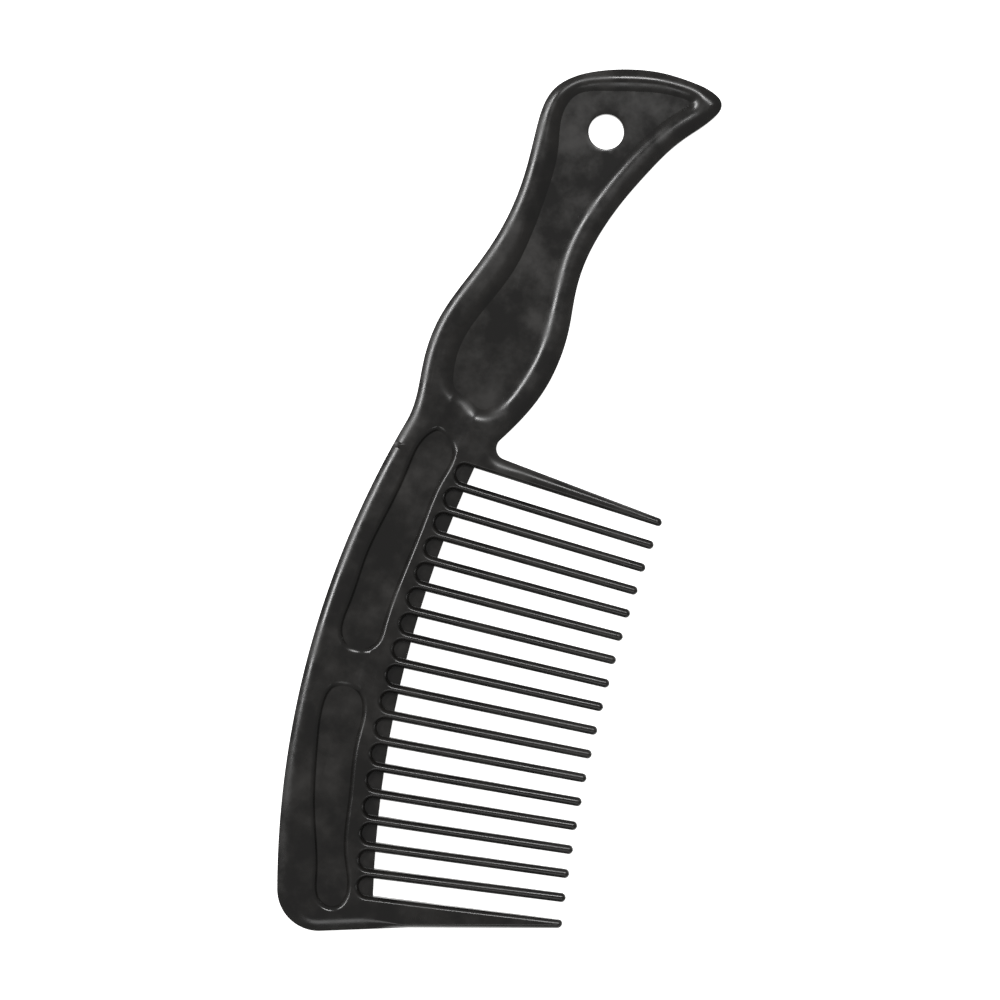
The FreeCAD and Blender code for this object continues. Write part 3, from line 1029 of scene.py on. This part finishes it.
            pairs = np.stack([rows, np.roll(rows, -1)], axis=1)
            links.append(pairs if closed else pairs[:-1])
            places.append(path)
            start += len(path)
        fixed = np.vstack(places)
        free = self._free_points(boundary, fixed)
        everything = np.vstack([fixed, free])
        coords, _, faces, _, _, _ = delaunay_2d_cdt(
            [Vector(p) for p in everything.tolist()],
            np.vstack(links).tolist(), [], 0, MERGE, False)
        coords = np.array([(c.x, c.y) for c in coords])
        faces = np.array(faces)
        middle = coords[faces].mean(axis=1)
        keep = inside(boundary, middle) & ~inside(hole_rings[0], middle)
        faces = faces[keep]
        a, b, c = (coords[faces[:, k]] for k in range(3))
        area = (b[:, 0] - a[:, 0]) * (c[:, 1] - a[:, 1]) \
            - (b[:, 1] - a[:, 1]) * (c[:, 0] - a[:, 0])
        faces[area < 0] = faces[area < 0][:, ::-1]
        faces = faces[np.abs(area) > SLIVER]
        used, numbers = np.unique(faces, return_inverse=True)
        return coords[used], numbers.reshape(faces.shape)

    def _free_points(self, boundary: np.ndarray, fixed: np.ndarray) -> np.ndarray:
        """Points between the rings, in rows that are offset by half a step.

        Args:
            boundary: outline of the sheet.
            fixed: every place of the rings and lines.

        Returns:
            The points that keep clear of the rings.
        """
        low, high = boundary.min(0), boundary.max(0)
        rows = np.arange(low[1], high[1], self.grid * ROW_RISE)
        columns = np.arange(low[0], high[0], self.grid)
        points = np.array([(x + (i % 2) * self.grid / 2, y)
                           for i, y in enumerate(rows) for x in columns])
        points = points[inside(boundary, points)]
        tree = KDTree(len(fixed))
        for row, (x, y) in enumerate(fixed):
            tree.insert((x, y, 0), row)
        tree.balance()
        apart = np.array([tree.find((x, y, 0))[2] for x, y in points])
        return points[apart > self.clearance]

    def region_of(self, middles: np.ndarray) -> np.ndarray:
        """Number of the region that each triangle belongs to, in the order of Region.

        Args:
            middles: middle of each triangle.

        Returns:
            The numbers.
        """
        x, y = middles[:, 0], middles[:, 1]
        level = self.handle.neck_level + self.neck_split_rise
        lower_root = self.outline[-1][0]
        number = {region: i for i, region in enumerate(Region)}
        numbers = np.full(len(middles), number[Region.SPINE])
        numbers[y > level] = number[Region.HANDLE]
        below_neck = (y > 0) & (y < self.handle.neck_level - self.neck_margin)
        numbers[(x > self.guards.upper_root) & below_neck] = number[Region.UPPER_GUARD]
        at_foot = (x > lower_root) & (y < self.row.axis_height(1))
        numbers[at_foot] = number[Region.LOWER_GUARD]
        return numbers


@dataclass(frozen=True)
class DrawingFrame:
    """Turns the drawing plane's millimetres into places in the CAD frame, in metres."""

    shift: tuple[float, float, float]

    @classmethod
    def from_hole(cls, record: dict, hole: tuple[float, float]) -> "DrawingFrame":
        """Finds the frame from the hanging hole's mount, which lies on the parting plane."""
        mount = next(m for m in record["mounts"] if m["name"] == "hanging_hole")
        x, y, z = (value / MM for value in mount["pos_m"])
        return cls((x - hole[0], y - hole[1], z))

    def place(self, places: np.ndarray, heights: np.ndarray) -> np.ndarray:
        """Places in the CAD frame, in metres."""
        return (np.column_stack([places, heights]) + np.array(self.shift)) * MM


# ---- finish --------------------------------------------------------------------------------
def linear(colour: str) -> tuple[float, float, float, float]:
    """Linear RGBA of an sRGB hex colour."""
    parts = [int(colour[i:i + 2], 16) / 255 for i in (1, 3, 5)]
    return tuple(p / 12.92 if p <= 0.04045 else ((p + 0.055) / 1.055) ** 2.4
                 for p in parts) + (1.0,)


def add_node(tree: bpy.types.NodeTree, kind: str, links: dict | None = None,
             **settings) -> bpy.types.Node:
    """Adds a node to a tree.

    Args:
        tree: the node tree.
        kind: the node's type name.
        links: input name or number, to the output socket or the value that goes in it.
        settings: the node's own settings.

    Returns:
        The new node.
    """
    node = tree.nodes.new(kind)
    for name, value in settings.items():
        setattr(node, name, value)
    for key, value in (links or {}).items():
        if isinstance(value, bpy.types.NodeSocket):
            tree.links.new(value, node.inputs[key])
        else:
            node.inputs[key].default_value = value
    return node


@dataclass(frozen=True)
class MouldedPolypropylene:
    """Black injection-moulded polypropylene from a polished steel mould.

    Gives the eye a near-black body with a satin gloss, cloudy where it has been handled,
    fine hairline scratches, and a surface that waves a little where the melt shrank.
    """

    colour: str = "#131211"
    worn_colour: str = "#201e1c"
    ior: float = 1.49
    gloss: float = 0.2                # roughness where the skin is clean
    haze: float = 0.42                # roughness where it is handled
    cloud_mm: float = 10.0            # size of a handling cloud
    scratch_mm: float = 0.5           # spacing of hairlines, coarse enough to show
    scratch_length: float = 0.03      # spacing along a hairline over spacing across it
    scratch_angle: float = 52.0
    flow_mm: float = 9.0              # size of the shrinkage waves
    flow_height_mm: float = 0.03

    def build(self) -> bpy.types.Material:
        """Builds the material.

        Returns:
            The finished material, on Object coordinates.
        """
        material = bpy.data.materials.new("moulded_black_polypropylene")
        material.use_nodes = True
        tree = material.node_tree
        shader = tree.nodes["Principled BSDF"]
        where = add_node(tree, "ShaderNodeTexCoord").outputs["Object"]
        cloud = add_node(tree, "ShaderNodeTexNoise",
                         {"Vector": where, "Scale": 1 / (self.cloud_mm * MM),
                          "Detail": 4.0, "Roughness": 0.6})
        turned = add_node(tree, "ShaderNodeMapping",
                          {"Vector": where,
                           "Rotation": (0, 0, math.radians(self.scratch_angle)),
                           "Scale": (1, self.scratch_length, 1)})
        hairs = add_node(tree, "ShaderNodeTexNoise",
                         {"Vector": turned.outputs["Vector"],
                          "Scale": 1 / (self.scratch_mm * MM), "Detail": 1.0})
        scratches = add_node(tree, "ShaderNodeMapRange",
                             {"Value": hairs.outputs["Fac"], "From Min": 0.66,
                              "From Max": 0.8, "To Min": 0.0, "To Max": 1.0})
        patches = add_node(tree, "ShaderNodeMapRange",
                           {"Value": cloud.outputs["Fac"], "From Min": 0.4,
                            "From Max": 0.72, "To Min": 0.0, "To Max": 1.0})
        worn = add_node(tree, "ShaderNodeMath",
                        {0: scratches.outputs["Result"], 1: patches.outputs["Result"]},
                        operation="MULTIPLY")
        haze = add_node(tree, "ShaderNodeMath",
                        {0: worn.outputs["Value"], 1: 0.5, 2: patches.outputs["Result"]},
                        operation="MULTIPLY_ADD")
        rough = add_node(tree, "ShaderNodeMapRange",
                         {"Value": haze.outputs["Value"], "From Min": 0.0, "From Max": 1.0,
                          "To Min": self.gloss, "To Max": self.haze})
        tint = add_node(tree, "ShaderNodeMix", {"Factor": haze.outputs["Value"]},
                        data_type="RGBA")
        tint.inputs[6].default_value = linear(self.colour)
        tint.inputs[7].default_value = linear(self.worn_colour)
        flow = add_node(tree, "ShaderNodeTexNoise",
                        {"Vector": where, "Scale": 1 / (self.flow_mm * MM),
                         "Detail": 1.0})
        bump = add_node(tree, "ShaderNodeBump",
                        {"Height": flow.outputs["Fac"], "Strength": 1.0,
                         "Distance": self.flow_height_mm * MM})
        shader.inputs["IOR"].default_value = self.ior
        tree.links.new(tint.outputs[2], shader.inputs["Base Color"])
        tree.links.new(rough.outputs["Result"], shader.inputs["Roughness"])
        tree.links.new(bump.outputs["Normal"], shader.inputs["Normal"])
        return material


# ---- pieces --------------------------------------------------------------------------------
class Moulder:
    """Turns the relief and the tooth row into finished pieces on the CAD frame."""

    def __init__(self, frame: DrawingFrame, finish: bpy.types.Material) -> None:
        """Keeps the frame and the finish that every piece has."""
        self.frame = frame
        self.finish = finish

    def dress(self, piece: bpy.types.Object, nodes: list[str]) -> bpy.types.Object:
        """Hangs a piece on its body, and hides and logs the CAD nodes that it stands for."""
        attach(piece, BODY)
        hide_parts(*nodes)
        LOG.info("%s: %d faces, stands for %s", piece.name, len(piece.data.polygons),
                 ", ".join(nodes))
        return piece

    @staticmethod
    def _mirrored(faces: np.ndarray, heights: np.ndarray) -> tuple[np.ndarray, np.ndarray]:
        """Lower copy of the faces.

        Args:
            faces: triangles of the upper face.
            heights: height of each place.

        Returns:
            Triangles of the lower face, and each place's number on the lower face; a place
            on the parting plane has one number for both.
        """
        lower = np.arange(len(heights))
        apart = heights > FLAT
        lower[apart] = len(heights) + np.arange(int(apart.sum()))
        return lower[faces][:, ::-1], lower

    @staticmethod
    def _walls(faces: np.ndarray, lower: np.ndarray) -> list[tuple[int, ...]]:
        """Upright faces that close the sheet wherever its border isn't on the parting plane.

        Args:
            faces: triangles of the upper face.
            lower: each place's number on the lower face.

        Returns:
            The faces, as place numbers.
        """
        edges = np.vstack([faces[:, [0, 1]], faces[:, [1, 2]], faces[:, [2, 0]]])
        known = {(int(a), int(b)) for a, b in edges}
        walls = []
        for a, b in known:
            if (b, a) not in known:
                corners = [b, a, int(lower[a]), int(lower[b])]
                single = [c for i, c in enumerate(corners) if c != corners[i - 1]]
                if len(single) > 2:
                    walls.append(tuple(single))
        return walls

    def relief_pieces(self, relief: Relief) -> list[bpy.types.Object]:
        """Makes the handle, the spine and the guard teeth.

        Args:
            relief: the modelled sheet.

        Returns:
            One object for each region.
        """
        places, faces = relief.triangulate()
        heights = relief.heights(places)
        heights[heights < FLAT] = 0
        below, lower = self._mirrored(faces, heights)
        apart = heights > FLAT
        coords = np.vstack([self.frame.place(places, heights),
                            self.frame.place(places[apart], -heights[apart])])
        whole = bpy.data.meshes.new("whole_moulding")
        shell = faces.tolist() + below.tolist()
        whole.from_pydata(coords.tolist(), [], shell + self._walls(faces, lower))
        whole.set_sharp_from_angle(angle=math.radians(RELIEF_CREASE))
        normals = np.array([n.vector[:] for n in whole.corner_normals])
        bpy.data.meshes.remove(whole)
        numbers = relief.region_of(places[faces].mean(axis=1))
        pieces = []
        for number, region in enumerate(Region):
            mine = np.flatnonzero(numbers == number)
            pieces.append(self._region_piece(region, coords, faces[mine], lower, normals,
                                             mine, len(faces)))
        return pieces

    def _region_piece(self, region: Region, coords: np.ndarray, faces: np.ndarray,
                      lower: np.ndarray, normals: np.ndarray, rows: np.ndarray,
                      total: int) -> bpy.types.Object:
        """Cuts one region out of the moulding and keeps the whole's shading on it.

        Args:
            region: which region.
            coords: every place of the moulding, in metres.
            faces: the region's upper triangles.
            lower: each place's number on the lower face.
            normals: the whole moulding's corner normals, upper triangles first.
            rows: the numbers of the region's triangles among the whole's.
            total: how many upper triangles the whole has.

        Returns:
            The finished piece.
        """
        walls = self._walls(faces, lower)
        shell = faces.tolist() + lower[faces][:, ::-1].tolist() + walls
        used = sorted({v for face in shell for v in face})
        renumber = {v: i for i, v in enumerate(used)}
        mesh = bpy.data.meshes.new(f"moulded_{region.value}")
        mesh.from_pydata(coords[used].tolist(), [],
                         [[renumber[v] for v in face] for face in shell])
        corner_rows = np.concatenate([rows, rows + total])
        corners = normals.reshape(-1, 3)[:total * 6].reshape(-1, 3, 3)[corner_rows]
        rest = np.zeros((sum(len(w) for w in walls), 3))
        for polygon in mesh.polygons:
            polygon.use_smooth = True
        for polygon in mesh.polygons[len(corner_rows):]:
            polygon.use_smooth = False
        mesh.normals_split_custom_set(np.vstack([corners.reshape(-1, 3), rest]).tolist())
        mesh.materials.append(self.finish)
        piece = bpy.data.objects.new(f"moulded_{region.value}", mesh)
        bpy.context.scene.collection.objects.link(piece)
        return self.dress(piece, [region.value])

    def tooth_row(self, row: ToothRow, section: MouldedSection) -> bpy.types.Object:
        """Makes all the inner teeth from one blank.

        Args:
            row: the tooth row.
            section: the moulding's section.

        Returns:
            One object with every inner tooth.
        """
        carrier = bpy.data.objects.new("tooth_row_rule", row.blank(section))
        bpy.context.scene.collection.objects.link(carrier)
        modifier = carrier.modifiers.new("tooth_row", "NODES")
        rule = ToothRule(self.finish)
        tree = rule.build()
        modifier.node_group = tree
        values = {
            "Teeth": row.count, "Pitch": row.pitch, "Fan radius": row.fan_radius,
            "Fan drop": row.fan_drop, "Half width": row.root_width / 2,
            "Tip half width": row.tip_width / 2, "Half height": section.half,
            "Tip half height": row.tip_height / 2, "Nose flat": row.nose_flat,
            "Root centre": (row.root_radius - row.root_setback, -row.root_drop, 0.0),
            "Root radius": row.root_radius,
            "Tip centre": (row.reach + row.tip_radius, -row.tip_drop, 0.0),
            "Tip radius": row.tip_radius, "Shift": self.frame.shift}
        for item in tree.interface.items_tree:
            if item.in_out == "INPUT" and item.name in values:
                modifier[item.identifier] = values[item.name]
        evaluated = carrier.evaluated_get(bpy.context.evaluated_depsgraph_get())
        mesh = bpy.data.meshes.new_from_object(evaluated)
        bpy.data.objects.remove(carrier)
        for name in [a.name for a in mesh.attributes if a.name in ToothRule.SCRATCH]:
            mesh.attributes.remove(mesh.attributes[name])
        mesh.shade_smooth()
        mesh.set_sharp_from_angle(angle=math.radians(TOOTH_CREASE))
        piece = bpy.data.objects.new("moulded_tooth_row", mesh)
        bpy.context.scene.collection.objects.link(piece)
        return self.dress(piece, [f"tooth_{i:02d}" for i in range(1, row.count + 1)])


class ToothRule:
    """Geometry Nodes tree that sets one tooth on every ray of the fan."""

    SCRATCH = ("share", "axis_height")

    def __init__(self, finish: bpy.types.Material) -> None:
        """Starts an empty tree."""
        self.finish = finish
        self.tree = bpy.data.node_groups.new("teeth_on_a_fan", "GeometryNodeTree")
        self.tree.is_modifier = True

    def _math(self, operation: str, *values) -> bpy.types.NodeSocket:
        """Number that a sum gives."""
        return add_node(self.tree, "ShaderNodeMath", dict(enumerate(values)),
                        operation=operation).outputs[0]

    def _vector(self, operation: str, *values) -> bpy.types.NodeSocket:
        """Vector that a vector sum gives, or the number for a dot product or a length."""
        links = {3 if operation == "SCALE" and i == 1 else i: v
                 for i, v in enumerate(values)}
        node = add_node(self.tree, "ShaderNodeVectorMath", links, operation=operation)
        return node.outputs[1 if operation in ("DOT_PRODUCT", "LENGTH") else 0]

    def _run_to_circle(self, start: bpy.types.NodeSocket, along: bpy.types.NodeSocket,
                       centre: bpy.types.NodeSocket, radius: bpy.types.NodeSocket
                       ) -> bpy.types.NodeSocket:
        """Run from a start, along a direction, to the near side of a circle.

        Args:
            start: where the run starts.
            along: its unit direction.
            centre: the circle's centre.
            radius: the circle's radius.

        Returns:
            The run's length.
        """
        offset = self._vector("SUBTRACT", start, centre)
        ahead = self._vector("DOT_PRODUCT", offset, along)
        apart = self._vector("DOT_PRODUCT", offset, offset)
        inner = self._math("SUBTRACT", apart, self._math("MULTIPLY", radius, radius))
        inner = self._math("SUBTRACT", self._math("MULTIPLY", ahead, ahead), inner)
        return self._math("SUBTRACT", self._math("MULTIPLY", ahead, -1.0),
                          self._math("SQRT", inner))

    def build(self) -> bpy.types.NodeTree:
        """Builds the tree.

        Returns:
            The tree; its inputs are the row's sizes in millimetres.
        """
        tree = self.tree
        face = tree.interface
        face.new_socket("Geometry", in_out="INPUT", socket_type="NodeSocketGeometry")
        face.new_socket("Teeth", in_out="INPUT", socket_type="NodeSocketInt")
        for name in ("Pitch", "Fan radius", "Fan drop", "Half width", "Tip half width",
                     "Half height", "Tip half height", "Nose flat", "Root radius",
                     "Tip radius"):
            face.new_socket(name, in_out="INPUT", socket_type="NodeSocketFloat")
        for name in ("Root centre", "Tip centre", "Shift"):
            face.new_socket(name, in_out="INPUT", socket_type="NodeSocketVector")
        face.new_socket("Geometry", in_out="OUTPUT", socket_type="NodeSocketGeometry")
        size = add_node(tree, "NodeGroupInput").outputs
        math_, vector = self._math, self._vector

        place = add_node(tree, "GeometryNodeInputPosition").outputs[0]
        blank = add_node(tree, "GeometryNodeStoreNamedAttribute",
                         {"Geometry": size["Geometry"], "Name": "share", "Value": place},
                         data_type="FLOAT_VECTOR", domain="POINT").outputs[0]
        middle = math_("MULTIPLY", math_("SUBTRACT", size["Teeth"], 1.0), 0.5)
        number = add_node(tree, "GeometryNodeInputIndex").outputs[0]
        height = math_("MULTIPLY", math_("SUBTRACT", number, middle), size["Pitch"])
        line = add_node(tree, "GeometryNodeMeshLine", {"Count": size["Teeth"]}).outputs[0]
        line = add_node(tree, "GeometryNodeStoreNamedAttribute",
                        {"Geometry": line, "Name": "axis_height", "Value": height},
                        data_type="FLOAT", domain="POINT").outputs[0]
        copies = add_node(tree, "GeometryNodeInstanceOnPoints",
                          {"Points": line, "Instance": blank}).outputs[0]
        teeth = add_node(tree, "GeometryNodeRealizeInstances",
                         {"Geometry": copies}).outputs[0]

        share = add_node(tree, "GeometryNodeInputNamedAttribute", {"Name": "share"},
                         data_type="FLOAT_VECTOR").outputs[0]
        height = add_node(tree, "GeometryNodeInputNamedAttribute", {"Name": "axis_height"},
                          data_type="FLOAT").outputs[0]
        split = add_node(tree, "ShaderNodeSeparateXYZ", {0: share}).outputs
        lean = math_("ARCTAN2",
                     math_("MULTIPLY", math_("ADD", height, size["Fan drop"]), -1.0),
                     size["Fan radius"])
        cos, sin = math_("COSINE", lean), math_("SINE", lean)
        along = add_node(tree, "ShaderNodeCombineXYZ", {0: cos, 1: sin}).outputs[0]
        across = add_node(tree, "ShaderNodeCombineXYZ",
                          {0: math_("MULTIPLY", sin, -1.0), 1: cos}).outputs[0]
        axis = add_node(tree, "ShaderNodeCombineXYZ", {1: height}).outputs[0]

        flank = vector("ADD", axis,
                       vector("SCALE", across, math_("MULTIPLY", split[1],
                                                     size["Half width"])))
        start = self._run_to_circle(flank, along, size["Root centre"], size["Root radius"])
        end = self._run_to_circle(axis, along, size["Tip centre"], size["Tip radius"])
        shoulder = math_("SUBTRACT", end, size["Tip half width"])
        shank = math_("MINIMUM", split[0], 1.0)
        nose = math_("MAXIMUM", math_("SUBTRACT", split[0], 1.0), 0.0)
        run = math_("MULTIPLY_ADD", shank, math_("SUBTRACT", shoulder, start), start)
        run = math_("MULTIPLY_ADD", nose, size["Tip half width"], run)
        taper = math_("MULTIPLY_ADD", shank,
                      math_("SUBTRACT", size["Tip half width"], size["Half width"]),
                      size["Half width"])
        side = math_("MULTIPLY", split[1], taper)
        tall = math_("MULTIPLY_ADD", shank,
                     math_("SUBTRACT", size["Tip half height"], size["Half height"]),
                     size["Half height"])
        turn = math_("SQRT", math_("MAXIMUM", math_("SUBTRACT", 1.0,
                                                    math_("MULTIPLY", nose, nose)), 0.0))
        sunk = math_("MULTIPLY_ADD", turn, math_("SUBTRACT", 1.0, size["Nose flat"]),
                     size["Nose flat"])
        up = math_("MULTIPLY", math_("MULTIPLY", split[2], tall), sunk)

        flat = vector("ADD", axis, vector("ADD", vector("SCALE", along, run),
                                          vector("SCALE", across, side)))
        lifted = add_node(tree, "ShaderNodeCombineXYZ", {2: up}).outputs[0]
        final = vector("SCALE", vector("ADD", vector("ADD", flat, lifted), size["Shift"]),
                       MM)
        teeth = add_node(tree, "GeometryNodeSetPosition",
                         {"Geometry": teeth, "Position": final}).outputs[0]
        teeth = add_node(tree, "GeometryNodeRealizeInstances",
                         {"Geometry": teeth}).outputs[0]
        teeth = add_node(tree, "GeometryNodeSetMaterial",
                         {"Geometry": teeth, "Material": self.finish}).outputs[0]
        add_node(tree, "NodeGroupOutput", {0: teeth})
        return tree


# ---- studio --------------------------------------------------------------------------------
@dataclass(frozen=True)
class SoftBox:
    """Square soft light that looks at the comb."""

    name: str
    place: tuple[float, float, float]      # metres right, up and above, as the camera sees
    size: tuple[float, float]              # metres, width and height
    glow: float                            # radiance, where white card in the room is 1

    def build(self, target: Vector, turn: float) -> None:
        """Hangs the light in the camera's axes and turns it to the target."""
        data = bpy.data.lights.new(self.name, "AREA")
        data.shape = "RECTANGLE"
        data.size, data.size_y = self.size
        data.energy = self.glow * math.pi * self.size[0] * self.size[1]
        light = bpy.data.objects.new(self.name, data)
        light.location = target + Matrix.Rotation(turn, 3, "Z") @ Vector(self.place)
        light.rotation_euler = (target - light.location).to_track_quat("-Z", "Y").to_euler()
        bpy.context.scene.collection.objects.link(light)


@dataclass(frozen=True)
class Studio:
    """Pale table, soft light and a camera straight above."""

    turn: float = 12.0                 # of the camera about the view line, in degrees
    centre_mm: tuple[float, float] = (-0.854, 1.137)
    field_mm: float = 264.1            # width of the picture on the parting plane
    distance: float = 0.9
    sensor: float = 36.0
    floor_colour: str = "#f7f7f6"
    table_glow: float = 1.0            # of the backlit table, where white card is 1
    surround: float = 0.3
    boxes: tuple[SoftBox, ...] = (
        SoftBox("left_strip", (-0.78, 0.42, 0.78), (0.8, 0.14), 26.0),
        SoftBox("top_strip", (0.16, 0.66, 1.1), (0.45, 0.2), 26.0),
        SoftBox("bottom_softbox", (0.0, -0.8, 1.0), (0.6, 0.3), 2.6))

    def build(self, middle_height: float) -> None:
        """Sets the table, the lights and the camera.

        Args:
            middle_height: height of the parting plane above the table, in metres.
        """
        scene = bpy.context.scene
        scene.view_settings.view_transform = "Standard"
        bpy.ops.mesh.primitive_plane_add(size=12)
        floor = bpy.context.object
        floor.name = "pale_table"
        paper = bpy.data.materials.new("matt_white_card")
        paper.use_nodes = True
        shader = paper.node_tree.nodes["Principled BSDF"]
        shader.inputs["Base Color"].default_value = linear(self.floor_colour)
        shader.inputs["Roughness"].default_value = 0.9
        shader.inputs["Emission Color"].default_value = linear(self.floor_colour)
        shader.inputs["Emission Strength"].default_value = self.table_glow
        floor.data.materials.append(paper)
        world = bpy.data.worlds.new("room")
        world.use_nodes = True
        world.node_tree.nodes["Background"].inputs["Strength"].default_value = self.surround
        world.node_tree.nodes["Background"].inputs["Color"].default_value = (1, 1, 1, 1)
        scene.world = world
        target = Vector((self.centre_mm[0] * MM, self.centre_mm[1] * MM, middle_height))
        for box in self.boxes:
            box.build(target, math.radians(self.turn))
        data = bpy.data.cameras.new("overhead_camera")
        data.sensor_width = self.sensor
        data.lens = self.sensor * self.distance / (self.field_mm * MM)
        camera = bpy.data.objects.new("overhead_camera", data)
        camera.location = target + Vector((0, 0, self.distance))
        camera.rotation_euler = (0, 0, math.radians(self.turn))
        scene.collection.objects.link(camera)
        scene.camera = camera


def main() -> None:
    """Builds the comb's pieces and the studio round the CAD frame."""
    logging.basicConfig(level=logging.INFO, format="%(name)s: %(message)s")
    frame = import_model()
    row = ToothRow()
    section = MouldedSection()
    guards = GuardTeeth(row)
    neck_rise = 7.36
    handle = Handle(row.pitch * (row.count + 1) / 2 + neck_rise)
    relief = Relief(section, row, guards, Spine(row), handle)
    drawing = DrawingFrame.from_hole(frame["record"], handle.hole)
    moulder = Moulder(drawing, MouldedPolypropylene().build())
    moulder.relief_pieces(relief)
    moulder.tooth_row(row, section)
    Studio().build(drawing.shift[2] * MM)


if __name__ == "__main__":
    main()
